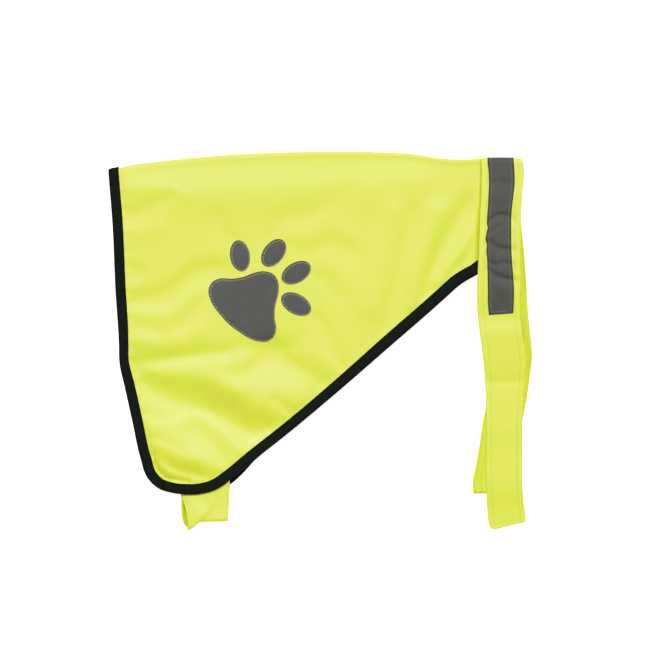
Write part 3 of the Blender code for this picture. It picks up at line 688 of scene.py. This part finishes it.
def film_tone(wire, beads, clouds, dark, pale):
    """The colour of reflective film, from its beads and a soft clouding."""
    return wire.mix(clouds.clipped(0.3, 0.7) * 0.6 + beads.clipped(0.3, 0.7) * 0.4, (*dark, 1), (*pale, 1))


grey, shader, wire = start_material("grey_reflective", {"IOR": 1.5, "Specular IOR Level": 0.4})
beads = wire.noise("Film", 3.0, 3.0)
clouds = wire.noise("Film", 0.09, 0.07)
crease_noise = wire.noise("Film", 0.25, 0.16, 3.0)
film = film_tone(wire, beads, clouds, GREY, GREY_PALE)
plug_in(
    wire,
    shader,
    {
        "Base Color": wire.mix(wire.map_parts("Edge")[0].clipped(1.5, 1.1), film, (*GREY_EDGE, 1)),
        "Roughness": 0.52 + beads * 0.16,
        "Normal": (beads * 0.3 + crease_noise).bump(0.25, 0.3),
    },
)
grey_thread = thread_material("grey_thread", GREY_THREAD, 0.6)
stray = np.random.default_rng(5)


def paw_piece(name, outline, middle):
    """One cut-out of the motif and the line of stitches round it."""
    place = np.array(PAW_PLACE)
    outline = turned(outline, PAW_TURN) + place
    middle = (turned(np.array([middle]), PAW_TURN) + place)[0]
    last = inset_outline(outline, PATCH_EDGE[-1][0])
    rings = [inset_outline(outline, distance) for distance, _ in PATCH_EDGE]
    rings += [middle + (last - middle) * share for share in PATCH_SHARES]
    inside, raised = np.array(PATCH_EDGE + PATCH_EDGE[-1:] * len(PATCH_SHARES)).T
    plan = np.stack(rings)
    plan = np.concatenate([plan, plan[:, :1]], axis=1)
    points = on_near_half(plan, PATCH_RAISED + raised[:, None])
    edge_map = np.zeros_like(plan) + inside[:, None, None]
    piece = sheet_piece(name, points, PATCH_WALL, grey, {"Film": plan, "Edge": edge_map}, closed=True)
    sides = [inset_outline(outline, inset) + np.array(ACROSS_SLIP) for inset in ACROSS]
    sides = [np.concatenate([one, one[:1]]) for one in sides]
    count = int(lengths_of(sides[0])[-1] / ACROSS_PITCH)
    places = (np.arange(count) + 0.5 + stray.uniform(-ACROSS_UNEVEN, ACROSS_UNEVEN, count)) / count
    ends = [along(one, places * lengths_of(one)[-1]) for one in sides]
    outer, inner = (on_near_half(end, PATCH_RAISED + PATCH_WALL / 2 + 0.05) for end in ends)
    return piece, (outer, inner, near_facing(ends[0]))


side = np.array(PAD_SIDE)
loop = np.concatenate([side, side[::-1][1:] * np.array([-1.0, 1.0])])
wrapped = np.concatenate([loop[-4:-1], loop, loop[1:4]])
line = smooth_line(wrapped)
knots = lengths_of(wrapped)
stretch = lengths_of(line)[-1] / knots[-1]
pad_outline = along(line, np.linspace(knots[3], knots[-4], PAD_SIDES, endpoint=False) * stretch)
outlines = {"paw_pad": (pad_outline, PAD_MIDDLE)}
turns = np.linspace(0, 2 * math.pi, TOE_SIDES, endpoint=False)
for number, toe in enumerate(PAW_TOES, start=1):
    oval = np.stack([toe["half_width"] * np.cos(turns), toe["half_length"] * np.sin(turns)], axis=-1)
    centre = (toe["across"], toe["along"])
    outlines[f"paw_toe_{number}"] = (turned(oval, toe["tilt"]) + np.array(centre), centre)

for node, (outline, middle) in outlines.items():
    piece, seam = paw_piece(node + "_film", outline, middle)
    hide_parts(node)
    stitches = stitches_piece(node + "_stitches", [seam], grey_thread, node, ACROSS_THREAD)
    next_point = np.roll(outline, -1, axis=0)
    area = float(abs(np.sum(outline[:, 0] * next_point[:, 1] - outline[:, 1] * next_point[:, 0]))) / 2 * MM**2

# --------------------------------------------------
# Edge binding: one strip of black knitted tape folded over the back panel's edge, from the near neck seam down the
# slant, round the corner and up the tail, over the spine and back along the far half. One line of black lockstitch
# holds it, a little inside its inner edge, and draws it into a shallow groove.

BINDING_WALL = 0.7
NEXT_TO = 0.05  # clearance between two layers that are sewn together
# Half of its section, from the inner edge to the fold: distance in from the bound edge, and height off the cloth
BINDING_SECTION = (
    (10.3, 0.40), (9.8, 0.62), (8.6, 0.62), (7.7, 0.44), (7.1, 0.58), (6, 0.84), (4.6, 0.98), (3.2, 1.00),
    (1.9, 0.94), (0.9, 0.72), (0.45, 0.38), (0.25, 0),
)
BINDING_RIPPLES = table(
    "length height start",
    (6.1, 0.07, 0.4), (9.7, 0.06, 2.2), (23, 0.08, 1.1),
)
BLACK = (0.0020, 0.0040, 0.0018)
# A lighter black, used for a painted sheen band on the binding's crown and for random lighter fuzz
BLACK_SHEEN_AND_FUZZ = (0.0062, 0.0088, 0.0056)
# It is drawn in narrower where the tail edge turns, and lies wider towards the neck
KINK = {"y": -14.0, "length": 24.0, "narrower": 0.10}
NECK_WIDER = {"from": -20.0, "to": 100.0, "wider": 0.12}
SEAM_IN = 7.7  # the lockstitch, from the bound edge
SEAM_HEIGHT = 0.62
RIPPLE_START = 3.0  # the ripples set in over this much of its inner part


black, shader, wire = start_material("black_binding", {"IOR": 1.45, "Specular IOR Level": 0.12})
u, v = wire.map_parts("Strip")
ribs = (v / 0.62).wave()
rows = (u / 0.9 + (v / 0.62).part_of_one() * 0.5).wave()
fuzz = wire.noise("Strip", 1.6, 2.6, 3.0)
weave = ribs * 0.5 + rows * 0.25 + fuzz
# Painted sheen: the crown of the binding's near face, about 2 to 8 mm across the strip, is made lighter. The fuzz
# noise adds random lighter fibres.
sheen_and_fuzz = (v - 5.0).size().clipped(4.2, 3.0) * 0.45 + fuzz.clipped(0.45, 0.8) * 0.5
plug_in(
    wire,
    shader,
    {
        "Base Color": wire.mix(sheen_and_fuzz, (*BLACK, 1), (*BLACK_SHEEN_AND_FUZZ, 1)),
        "Roughness": 0.62 + fuzz * 0.16,
        "Normal": weave.bump(0.4, 0.2),
    },
)

out = outward(panel)
rows, columns = panel.shape[:2]
slant = range(columns - 1, 0, -1)
edge = [(0, c) for c in slant] + [(r, 0) for r in range(rows)] + [(rows - 1, c) for c in reversed(slant)]
inner = [(min(max(r, BOUND_STEPS), rows - 1 - BOUND_STEPS), max(c, BOUND_STEPS)) for r, c in edge]
edge_points = np.array([panel[at] for at in edge])
edge_out = np.array([out[at] for at in edge])
inner_points = np.array([panel[at] for at in inner])
inner_out = np.array([out[at] for at in inner])
away = np.cross(np.gradient(edge_points, axis=0), edge_out)
away /= np.linalg.norm(away, axis=1, keepdims=True)
away *= np.sign(np.sum(away * (edge_points - inner_points), axis=1, keepdims=True))
edge_lengths = lengths_of(edge_points)
ripple = waves(BINDING_RIPPLES, edge_lengths)
at_kink = np.exp(-(((edge_points[:, 1] - KINK["y"]) / KINK["length"]) ** 2)) * (edge_points[:, 0] < CORNER[0])
breadth = 1 - KINK["narrower"] * at_kink
breadth += NECK_WIDER["wider"] * ease(NECK_WIDER["from"], NECK_WIDER["to"], edge_points[:, 0])


def binding_points(distance_in, height):
    """Points off the panel's bound cloth, a distance in from the bound edge and a height above or below it."""
    share = ((distance_in * breadth - BOUND_INSET) / (BOUND - BOUND_INSET))[:, None]
    held = np.maximum(0.0, share)
    past_edge = away * (BOUND - BOUND_INSET) * np.maximum(0.0, -share)
    points = edge_points + (inner_points - edge_points) * held + past_edge
    facing = edge_out + (inner_out - edge_out) * held
    rippled = 1 + ripple[:, None] * 1.5 * ease(BOUND, BOUND - RIPPLE_START, distance_in)
    off_cloth = np.sign(height) * (CLOTH / 2 + NEXT_TO + BINDING_WALL / 2)
    return points + facing * off_cloth + facing * height * rippled, facing


section = [binding_points(inside, height)[0] for inside, height in BINDING_SECTION]
section += [binding_points(inside, -height)[0] for inside, height in reversed(BINDING_SECTION[:-1])]
strip = np.stack(section, axis=1)
strip[..., 0] = np.minimum(strip[..., 0], neck_seam_x(strip[..., 1]) - BINDING_WALL / 2)
strip_across = lengths_of(np.array(BINDING_SECTION))
strip_across = np.concatenate([strip_across, 2 * strip_across[-1] - strip_across[-2::-1]])
strip_map = np.stack(np.broadcast_arrays(edge_lengths[:, None], strip_across[None]), axis=-1)
edge_binding = sheet_piece("edge_binding_strip", strip, BINDING_WALL, black, {"Strip": strip_map})
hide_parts("edge_binding")

seam_points, seam_out = binding_points(SEAM_IN, SEAM_HEIGHT)
far_seam_points, far_seam_out = binding_points(SEAM_IN, -SEAM_HEIGHT)
black_thread = thread_material("black_thread", (0.012, 0.014, 0.015), 0.55)
binding_stitches = stitches_piece(
    "edge_binding_stitches",
    [running_stitches(seam_points, seam_out), running_stitches(far_seam_points, -far_seam_out)],
    black_thread,
    "edge_binding",
)

# --------------------------------------------------
# Neck strap: a band of the panel's cloth with a 6 mm hem turned under along both sides and topstitched, sewn to the
# neck edge and folded over at the spine. Its two free ends hang below the neck and close round the chest with
# hook-and-loop tape, which is sewn to the hidden face of the near end by a small stitched box.

STRAP_CLOTH = 0.9
STRAP_HEM = 6.0
STRAP_WIDTH = 42.0
STRAP_BEND = 2.7  # half the distance between its two runs at the fold
STRAP_START = NECK_TOP - STRAP_CLOTH / 2 - STRAP_BEND
# Columns of the strap across its full width: place, and how far the hems raise its face or the seams draw it down
STRAP_SECTION = (
    (0, -0.10), (0.5, 0.12), (1.6, 0.22), (3.2, 0.26), (4.8, 0.20), (5.5, 0.06), (6, -0.05), (6.5, 0.02),
    (7.4, 0.06), (9.5, 0.02), (12, 0), (15, 0), (18, 0), (21, 0),
)
# Places down each run: the strap's two edges and the height of its middle
NEAR_RUN = table(
    "y left right height",
    (185, 161, 202, 7.2), (168, 161, 203.6, 7.2), (150, 160.8, 202, 7.2), (124, 159.6, 200.2, 7.2),
    (79, 158, 200, 7), (60, 157, 200, 6.4), (28, 157.3, 200.2, 4.9), (8, 159.8, 202, 4.6), (-18, 163, 205.8, 3.9),
    (-42, 165.2, 204.6, 2.5), (-64, 166, 202.8, 2.7), (-110, 166, 202, 2.3), (-152, 166.4, 202.6, 2.2),
    (-168, 167.3, 203.8, 1.2), (-179, 168.3, 205.2, 0.9), (-184.5, 169.6, 205.5, 0.8), (-187.4, 171.8, 205.6, 0.8),
    (-188.6, 175, 205.6, 0.8),
)
FAR_RUN = table(
    "y left right height",
    (185, 161, 202, 1.8), (150, 160.8, 202, 1.8), (124, 159.6, 200.8, 1.8), (91, 158.4, 203.6, 1.8),
    (60, 159, 206, 1.8), (24, 162, 208.2, 1.8), (4, 165, 210.5, 0.8), (-12, 167, 211.8, 0.8),
    (-39, 167.5, 209.2, 0.8), (-64, 166.2, 205.4, 0.8), (-82, 162.8, 202, 0.8), (-106, 159.2, 199, 0.8),
    (-122, 156.3, 197.6, 0.8), (-147, 152.8, 195.6, 0.8), (-152.7, 153.6, 195, 0.8),
)
NEAR_END_SLANT = 7.5
NEAR_SLANT_LENGTH = 45.0
NEAR_END_ROWS = (0.0, 0.5, 1.2, 2.4, 4.1, 6.5)
NEAR_END_LENGTH = 9.0
# Creases of the near run, in plan: those of the taped part, then soft ones below
STRAP_FOLDS = table(
    "height left right line",
    (-0.30, 3, 6, ((173, 158), (183, 159), (193, 157))),
    (0.30, 9, 7, ((168, 143), (180, 144), (194, 142))),
    (-0.94, 2.2, 6, ((170, 121), (177, 125.5), (184, 126), (192, 122))),
    (-0.50, 1.6, 4, ((168, 108), (173, 111), (178, 115))),
    (-0.88, 2.2, 6, ((170, 99), (176, 94), (184, 92), (193, 91.5))),
    (-0.56, 2.4, 5, ((168, 78), (176, 76), (184, 78), (193, 75.5))),
    (-1.06, 2, 5.5, ((169, 70.5), (177, 65), (185, 62.5), (194, 61.5))),
    (0.25, 9, 12, ((169, 46), (180, 48), (194, 46))),
    (-0.35, 5, 3, ((163, -43), (180, -42), (205, -41))),
    (0.45, 9, 14, ((166, 6), (184, 8), (204, 10))),
    (-0.30, 9, 9, ((160, 24), (180, 22), (202, 20))),
    (0.25, 12, 12, ((166, -92), (184, -88), (202, -90))),
)
NEAR_RUN_ROWS = 150
FAR_RUN_ROWS = 120
STRAP_BEND_STEPS = 12
STRAP_BOX = 4.1  # from its near end to the row of stitches that holds the fastening beneath
OLIVE_THREAD = (0.64, 0.69, 0.04)
# The far run's edge curls up where it shows beside the near run
STRAP_CURL = 4.0
STRAP_CURL_WIDTH = 11.0
STRAP_LIFT = 0.47  # and lifts by this slope where it shows past the near run's right edge
STRAP_LIFT_WIDTH = 6.0
STRAP_LIFT_EASE = 3.0
TOP_CORNER = 2.6  # its right corner is rounded off by this much at the fold
TOP_CORNER_LENGTH = 7.0


def mirrored(half, width):
    """A table of places across half a band, and how much they are raised, mirrored to its whole width."""
    return half + tuple((width - place, raised) for place, raised in half[-2::-1])


def run_points(run, ys, slant, section, folds):
    """Points of one run of the strap, a row for each place and a column for each place in the section."""
    left = column(run, "y", "left", ys)[:, None]
    right = column(run, "y", "right", ys)[:, None]
    places = np.array([place for place, _ in section])
    across = left + (right - left) * places[None] / STRAP_WIDTH
    tilt = slant * (1 - ease(0, NEAR_SLANT_LENGTH, ys - min(row["y"] for row in run)))[:, None]
    plan = np.stack([across, ys[:, None] + tilt * places[None] / STRAP_WIDTH], axis=-1)
    height = column(run, "y", "height", ys)[:, None] + wrinkle_heights(folds, plan)
    return with_height(plan, height), np.repeat(np.array([raised for _, raised in section])[None], len(ys), axis=0)


def strap_points(section):
    """The whole strap through a section: up the near run, round the bend and down the far run; and its raising."""
    near_end = min(row["y"] for row in NEAR_RUN)
    far_end = min(row["y"] for row in FAR_RUN)
    end_ys = near_end + np.array(NEAR_END_ROWS)
    near_ys = np.concatenate([end_ys, np.linspace(near_end + NEAR_END_LENGTH, STRAP_START, NEAR_RUN_ROWS)])
    far_ys = np.linspace(STRAP_START, far_end, FAR_RUN_ROWS)
    near_points, near_raised = run_points(NEAR_RUN, near_ys, NEAR_END_SLANT, section, STRAP_FOLDS)
    far_points, far_raised = run_points(FAR_RUN, far_ys, 0.0, section, ())
    far_points[0, :, :2] = near_points[-1, :, :2]
    turn = bend_rows(near_points[-1], far_points[0], STRAP_BEND, STRAP_BEND_STEPS)
    turn_raised = np.repeat(near_raised[-1:], len(turn), axis=0)
    beside = column(NEAR_RUN, "y", "left", far_ys) - column(FAR_RUN, "y", "left", far_ys)
    beside = np.clip(beside, 0.5, STRAP_CURL_WIDTH)[:, None]
    curl = np.maximum(0, 1 - np.array([place for place, _ in section])[None] / beside)
    far_points[..., 2] += STRAP_CURL * ease(0, STRAP_CURL_WIDTH, beside) * curl
    near_right = column(NEAR_RUN, "y", "right", far_ys)[:, None]
    shows = ease(0, STRAP_LIFT_EASE, column(FAR_RUN, "y", "right", far_ys)[:, None] - near_right)
    far_points[..., 2] += STRAP_LIFT * shows * np.clip(far_points[..., 0] - near_right, 0, STRAP_LIFT_WIDTH)
    points = np.concatenate([near_points, turn, far_points])
    share = np.array([place for place, _ in section])[None] / STRAP_WIDTH
    near_fold = ease(NECK_TOP - TOP_CORNER_LENGTH, NECK_TOP, points[..., 1])
    points[..., 0] -= TOP_CORNER * ease(0.7, 1.0, share) * near_fold**2
    return points, np.concatenate([near_raised, turn_raised, far_raised])


full_section = mirrored(STRAP_SECTION, STRAP_WIDTH)
strap, raised = strap_points(full_section)
strap_out = outward(strap)
strap_cut = cut_map(np.array(full_section)[:, 0], strap)
strap_face = strap + strap_out * raised[..., None]
neck_strap = sheet_piece("neck_strap_cloth", strap_face, STRAP_CLOTH, yellow, {"Cut": strap_cut})
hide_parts("neck_strap")


def strap_seam(place, raised):
    """A seam down the strap at one place across it, on its outer face."""
    points, _ = strap_points(((0.0, 0.0), (place, 0.0), (STRAP_WIDTH, 0.0)))
    facing = outward(points)
    return points[:, 1] + facing[:, 1] * (STRAP_CLOTH / 2 + raised), facing[:, 1]


near_end = min(row["y"] for row in NEAR_RUN)
box_row = int(np.argmin(np.abs(strap[: len(strap) // 2, 0, 1] - near_end - STRAP_BOX)))
box = slice(full_section.index(STRAP_SECTION[6]), len(full_section) - STRAP_SECTION.index(STRAP_SECTION[6]))
box_face = strap + strap_out * (raised[..., None] + STRAP_CLOTH / 2)
olive_thread = thread_material("olive_thread", OLIVE_THREAD, 0.6)
strap_stitches = stitches_piece(
    "neck_strap_stitches",
    [
        running_stitches(*strap_seam(STRAP_HEM, 0.02)),
        running_stitches(*strap_seam(STRAP_WIDTH - STRAP_HEM, 0.02)),
        running_stitches(box_face[box_row, box], strap_out[box_row, box]),
    ],
    olive_thread,
    "neck_strap",
)

# --------------------------------------------------
# Neck tape: 25 mm grey retro-reflective tape, laid along the strap and over its fold, with painted shade darkening
# its long edges. It is sewn with a line of pale stitches 3 mm inside each edge and across its ends, and has creased
# across in handling.

TAPE_WALL = 0.4
TAPE_WIDTH = 25.5
TAPE_END = 25.8
TAPE_RAISED = 0.95  # its middle above the strap's
TAPE_END_SLANT = 1.8
TAPE_SLANT_LENGTH = 25.0
TAPE_RUN = table(
    "y left right",
    (182.7, 166.8, 192.8), (166, 168.3, 194.1), (153, 168.4, 193.9), (145, 168, 192.9), (135, 167.6, 191.7),
    (124, 166.7, 190.8), (108, 166, 190.7), (98, 165.8, 190.7), (80, 166.8, 191.5), (66, 167.1, 192.6),
    (55, 167.4, 193.3), (38, 167.6, 193.3), (25.8, 168.6, 192.9),
)
TAPE_SECTION = (
    (0, -0.04), (0.5, 0.04), (1.4, 0.05), (2.4, -0.02), (2.9, -0.10), (3.4, -0.03), (4.6, 0.05), (7, 0.06),
    (10, 0.06), (12.75, 0.06),
)
# Small puckers of its left edge
TAPE_PUCKERS = table(
    "y aside width",
    (112.5, 1.1, 2.6), (102.5, -0.7, 3), (96, 0.4, 2.2), (88, -0.4, 3),
)
TAPE_SEAM = 2.9
# Near-black, painted along the tape's long edges as shade
TAPE_EDGE_SHADE = (0.030, 0.028, 0.014)
TAPE_GREY = (0.035, 0.036, 0.025)
TAPE_GREY_PALE = (0.057, 0.058, 0.047)
TAPE_THREAD = 0.5
TAPE_THREAD_COLOUR = (0.30, 0.30, 0.235)
TAPE_NEAR_ROWS = 170
TAPE_FAR_ROWS = 90

tape_film, shader, wire = start_material("tape_film", {"IOR": 1.5, "Specular IOR Level": 0.6})
u, v = wire.map_parts("Film")
beads = wire.noise("Film", 2.6, 2.6)
clouds = wire.noise("Film", 0.10, 0.06)
to_edge = wire.math("MINIMUM", u, TAPE_WIDTH - u)
# Painted shade: the film is darkened within about 1 mm of each long edge, and is also rougher there
edge_shade_share = to_edge.clipped(1.2, 0.7)
tone = film_tone(wire, beads, clouds, TAPE_GREY, TAPE_GREY_PALE)
plug_in(
    wire,
    shader,
    {
        "Base Color": wire.mix(edge_shade_share, tone, (*TAPE_EDGE_SHADE, 1)),
        "Roughness": 0.55 + beads * 0.16 + edge_shade_share * 0.2,
        "Normal": (beads * 0.4 + clouds).bump(0.3, 0.2),
    },
)


def tape_run(run, ys, near):
    """Points of one run of the tape, above the strap's own face."""
    section = np.array(mirrored(TAPE_SECTION, TAPE_WIDTH))
    places = section[None, :, 0] / TAPE_WIDTH
    left = column(TAPE_RUN, "y", "left", ys)[:, None]
    right = column(TAPE_RUN, "y", "right", ys)[:, None]
    if near:
        aside = sum(one["aside"] * np.exp(-(((ys - one["y"]) / one["width"]) ** 2)) for one in TAPE_PUCKERS)
        left = left + aside[:, None]
    else:
        shift = column(run, "y", "left", ys) - column(NEAR_RUN, "y", "left", ys)
        left, right = left + shift[:, None], right + shift[:, None]
    across = left + (right - left) * places
    slanted = ys[:, None] + TAPE_END_SLANT * places * (1 - ease(0, TAPE_SLANT_LENGTH, ys - TAPE_END))[:, None]
    plan = np.stack([across, slanted], axis=-1)
    height = column(run, "y", "height", ys)[:, None] + wrinkle_heights(STRAP_FOLDS if near else (), plan)
    return with_height(plan, height), section[:, 1]


near_tape, tape_raised = tape_run(NEAR_RUN, np.linspace(TAPE_END, STRAP_START, TAPE_NEAR_ROWS), True)
far_tape, _ = tape_run(FAR_RUN, np.linspace(STRAP_START, TAPE_END, TAPE_FAR_ROWS), False)
far_tape[0, :, :2] = near_tape[-1, :, :2]
turn = bend_rows(near_tape[-1], far_tape[0], STRAP_BEND, STRAP_BEND_STEPS)
tape = np.concatenate([near_tape, turn, far_tape])
tape_out = outward(tape)
tape_across = np.array(mirrored(TAPE_SECTION, TAPE_WIDTH))[:, 0]
tape_cut = cut_map(tape_across, tape)
tape_points = tape + tape_out * (TAPE_RAISED + tape_raised[None, :, None])
neck_tape = sheet_piece("neck_tape_film", tape_points, TAPE_WALL, tape_film, {"Film": tape_cut})
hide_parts("neck_tape")

tape_thread = thread_material("tape_thread", TAPE_THREAD_COLOUR, 0.6)
seam_column = int(np.argmin(np.abs(tape_across - TAPE_SEAM)))
other_column = len(tape_across) - 1 - seam_column
face = tape_points + tape_out * (TAPE_WALL / 2 + 0.02)
end_row = int(np.argmin(np.abs(near_tape[:, 0, 1] - (TAPE_END + TAPE_SEAM))))
last_row = len(tape) - 1 - end_row // 2
down, across = slice(end_row, last_row + 1), slice(seam_column, other_column + 1)
seams = ((down, seam_column), (down, other_column), (end_row, across), (last_row, across))
tape_stitches = stitches_piece(
    "neck_tape_stitches",
    [running_stitches(face[seam], tape_out[seam]) for seam in seams],
    tape_thread,
    "neck_tape",
    TAPE_THREAD,
)

# --------------------------------------------------
# Belly strap: a hemmed band of the panel's cloth, sewn inside one flap's corner and closed on the other. It shows as
# a flattened loop below the corner, open on its left, with a crease pressed across it.

BELLY_CLOTH = 0.8
BELLY_INNER_Y = -127.0
BELLY_WIDTH = 46.0
# Edges of the two legs from the corner down to the bottom bend
BELLY_NEAR_LEFT = table(
    "y x",
    (-127, -137.5), (-150, -137.3), (-158, -136.6), (-166.6, -134.4), (-178, -132), (-184.6, -131.2),
    (-189.2, -131.2),
)
BELLY_FAR_LEFT = table(
    "y x",
    (-127, -137.6), (-158, -138.7), (-166.6, -138.4), (-177, -137.5), (-185.7, -134.2), (-189.2, -131.2),
)
BELLY_RIGHT = table(
    "y x",
    (-127, -89.6), (-145, -90.1), (-160, -90.8), (-180, -92.1),
)
BELLY_BOTTOM = table(
    "place y",
    (0, -189.2), (0.07, -188.4), (0.15, -186.6), (0.33, -181.6), (0.45, -181.1), (0.7, -180.8), (1, -180.3),
)
BELLY_LEG_OFFSET = 2.4
BELLY_LEGS_APART = 1.5
BELLY_BEND = 2.0
BELLY_DROP = 12.0
BELLY_HEM_Y = -155.0
BELLY_NEAR_END = 7.4
BELLY_CURL = 3.7  # the far leg's open edge stands up
BELLY_CURL_WIDTH = 4.2
BELLY_FOLDS = table(
    "height left right line",
    (-0.9, 2.8, 13, ((-118, -182.5), (-109, -171.3), (-102.6, -162.7), (-96.2, -151.3), (-93, -143.3))),
    (0.5, 9, 6, ((-130, -158), (-121, -170), (-116, -176))),
)
BELLY_HEM = ((0.0, -0.08), (0.5, 0.10), (1.3, 0.14), (2.0, 0.02), (2.4, -0.08), (2.9, 0.0), (4.0, 0.02))
BELLY_SEAM = 2.4
BELLY_HEM_END = 6.0
BELLY_PLACES = 22
BELLY_LEG_ROWS = 44
BELLY_BEND_STEPS = 10

hem_places, hem_raised = np.array(BELLY_HEM).T
middle_places = np.linspace(BELLY_HEM_END, BELLY_WIDTH - BELLY_HEM_END, BELLY_PLACES)
belly_across = np.concatenate([hem_places, middle_places, BELLY_WIDTH - hem_places[::-1]])
belly_raised = np.concatenate([hem_raised, np.zeros(BELLY_PLACES), hem_raised[::-1]])
shares = belly_across / BELLY_WIDTH
bottom = column(BELLY_BOTTOM, "place", "y", shares) + BELLY_BEND + BELLY_CLOTH / 2
down = np.linspace(0, 1, BELLY_LEG_ROWS)[:, None]
leg_y = BELLY_INNER_Y + (bottom - BELLY_INNER_Y) * down
legs = []
for table in (BELLY_NEAR_LEFT, BELLY_FAR_LEFT):
    left = column(table, "y", "x", leg_y)
    right = column(BELLY_RIGHT, "y", "x", leg_y)
    legs.append(np.stack([left + (right - left) * shares, leg_y], axis=-1))
far_z = FAR_EDGE + BELLY_LEG_OFFSET
near_z = np.maximum(near_height(legs[0]) - BELLY_LEG_OFFSET, far_z + BELLY_LEGS_APART)
outside = ease(0, 1, (BELLY_HEM_Y - leg_y) / (BELLY_HEM_Y - bottom))
creases = wrinkle_heights(BELLY_FOLDS, legs[0])
near_leg = with_height(legs[0], near_z + (BELLY_NEAR_END - near_z) * outside + creases * outside)
far_leg = with_height(legs[1], far_z + (BELLY_CLOTH / 2 + 0.1 - far_z) * ease(0, BELLY_DROP, BELLY_HEM_Y - leg_y))
open_edge = ease(0, 10, BELLY_HEM_Y - leg_y) * ease(0, 6, leg_y - bottom)
far_leg[..., 2] += BELLY_CURL * (1 - ease(0, BELLY_CURL_WIDTH, belly_across)) * open_edge
turn = bend_rows(near_leg[-1], far_leg[-1], -BELLY_BEND, BELLY_BEND_STEPS)
belly = np.concatenate([near_leg, turn, far_leg[::-1]])[:, ::-1]
belly_out = outward(belly)
belly_cut = cut_map(belly_across[::-1], belly)
belly_points = belly + belly_out * belly_raised[::-1][None, :, None]
belly_strap = sheet_piece("belly_strap_cloth", belly_points, BELLY_CLOTH, yellow, {"Cut": belly_cut})
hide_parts("belly_strap")

seam_column = int(np.argmin(np.abs(belly_across[::-1] - BELLY_SEAM)))
other_column = len(belly_across) - 1 - seam_column
face = belly_points + belly_out * (BELLY_CLOTH / 2 + 0.02)
belly_seams = [running_stitches(face[:, place], belly_out[:, place]) for place in (seam_column, other_column)]
belly_stitches = stitches_piece("belly_strap_stitches", belly_seams, olive_thread, "belly_strap")

# --------------------------------------------------
# Floor, light and camera: a white table, a big soft lamp behind the spine and an even white room. The camera looks
# straight down.

LAMP_TURN = 86.0  # degrees from +X, towards +Y
LAMP_RISE = 65.5
LAMP_STRENGTH = 2.42
LAMP_SPREAD = 22.0
ROOM_STRENGTH = 0.27
TABLE_GLOW = 0.8
TONES = (
    (0, 0), (0.325, 0.352), (0.56, 0.608), (0.65, 0.704), (0.72, 0.776), (0.81, 0.829), (0.87, 0.857),
    (0.94, 0.885), (1, 0.95),
)
CAMERA_PLACE = (12.5, 8.25, 2500.0)
CAMERA_LENS = 135.3

white, shader, wire = start_material(
    "white_table",
    {
        "Base Color": (0.95, 0.95, 0.95, 1.0),
        "Roughness": 0.9,
        "Emission Color": (1.0, 1.0, 1.0, 1.0),
        "Emission Strength": TABLE_GLOW,
    },
)
mesh = bmesh.new()
bmesh.ops.create_grid(mesh, x_segments=1, y_segments=1, size=4.0)
bmesh.ops.translate(mesh, verts=mesh.verts, vec=(0.0, 0.0, -0.2 * MM))
data = bpy.data.meshes.new("table")
mesh.to_mesh(data)
mesh.free()
data.materials.append(white)
floor = add_object("table", data)

lamp_data = bpy.data.lights.new("lamp", "SUN")
lamp_data.energy = LAMP_STRENGTH
lamp_data.angle = math.radians(LAMP_SPREAD)
lamp = add_object("lamp", lamp_data)
turn, rise = math.radians(LAMP_TURN), math.radians(LAMP_RISE)
lamp_way = Vector((math.cos(turn), math.sin(turn), math.tan(rise)))
lamp.rotation_euler = lamp_way.to_track_quat("Z", "Y").to_euler()

room = bpy.data.worlds.new("room")
room.use_nodes = True
room_inputs = room.node_tree.nodes["Background"].inputs
room_inputs["Color"].default_value = (1.0, 1.0, 1.0, 1.0)
room_inputs["Strength"].default_value = ROOM_STRENGTH
bpy.context.scene.world = room
# The picture's tones: plain, with the highlights held back as a camera holds them
shown = bpy.context.scene.view_settings
shown.view_transform = "Standard"
shown.use_curve_mapping = True
tones = shown.curve_mapping.curves[3].points
for dark, light in TONES[1:-1]:
    tones.new(dark, light)
for point, place in zip((tones[0], tones[-1]), (TONES[0], TONES[-1])):
    point.location = place
shown.curve_mapping.extend = "EXTRAPOLATED"
shown.curve_mapping.update()

camera_data = bpy.data.cameras.new("camera")
camera_data.lens = CAMERA_LENS
camera = add_object("camera", camera_data)
camera.location = [part * MM for part in CAMERA_PLACE]
bpy.context.scene.camera = camera
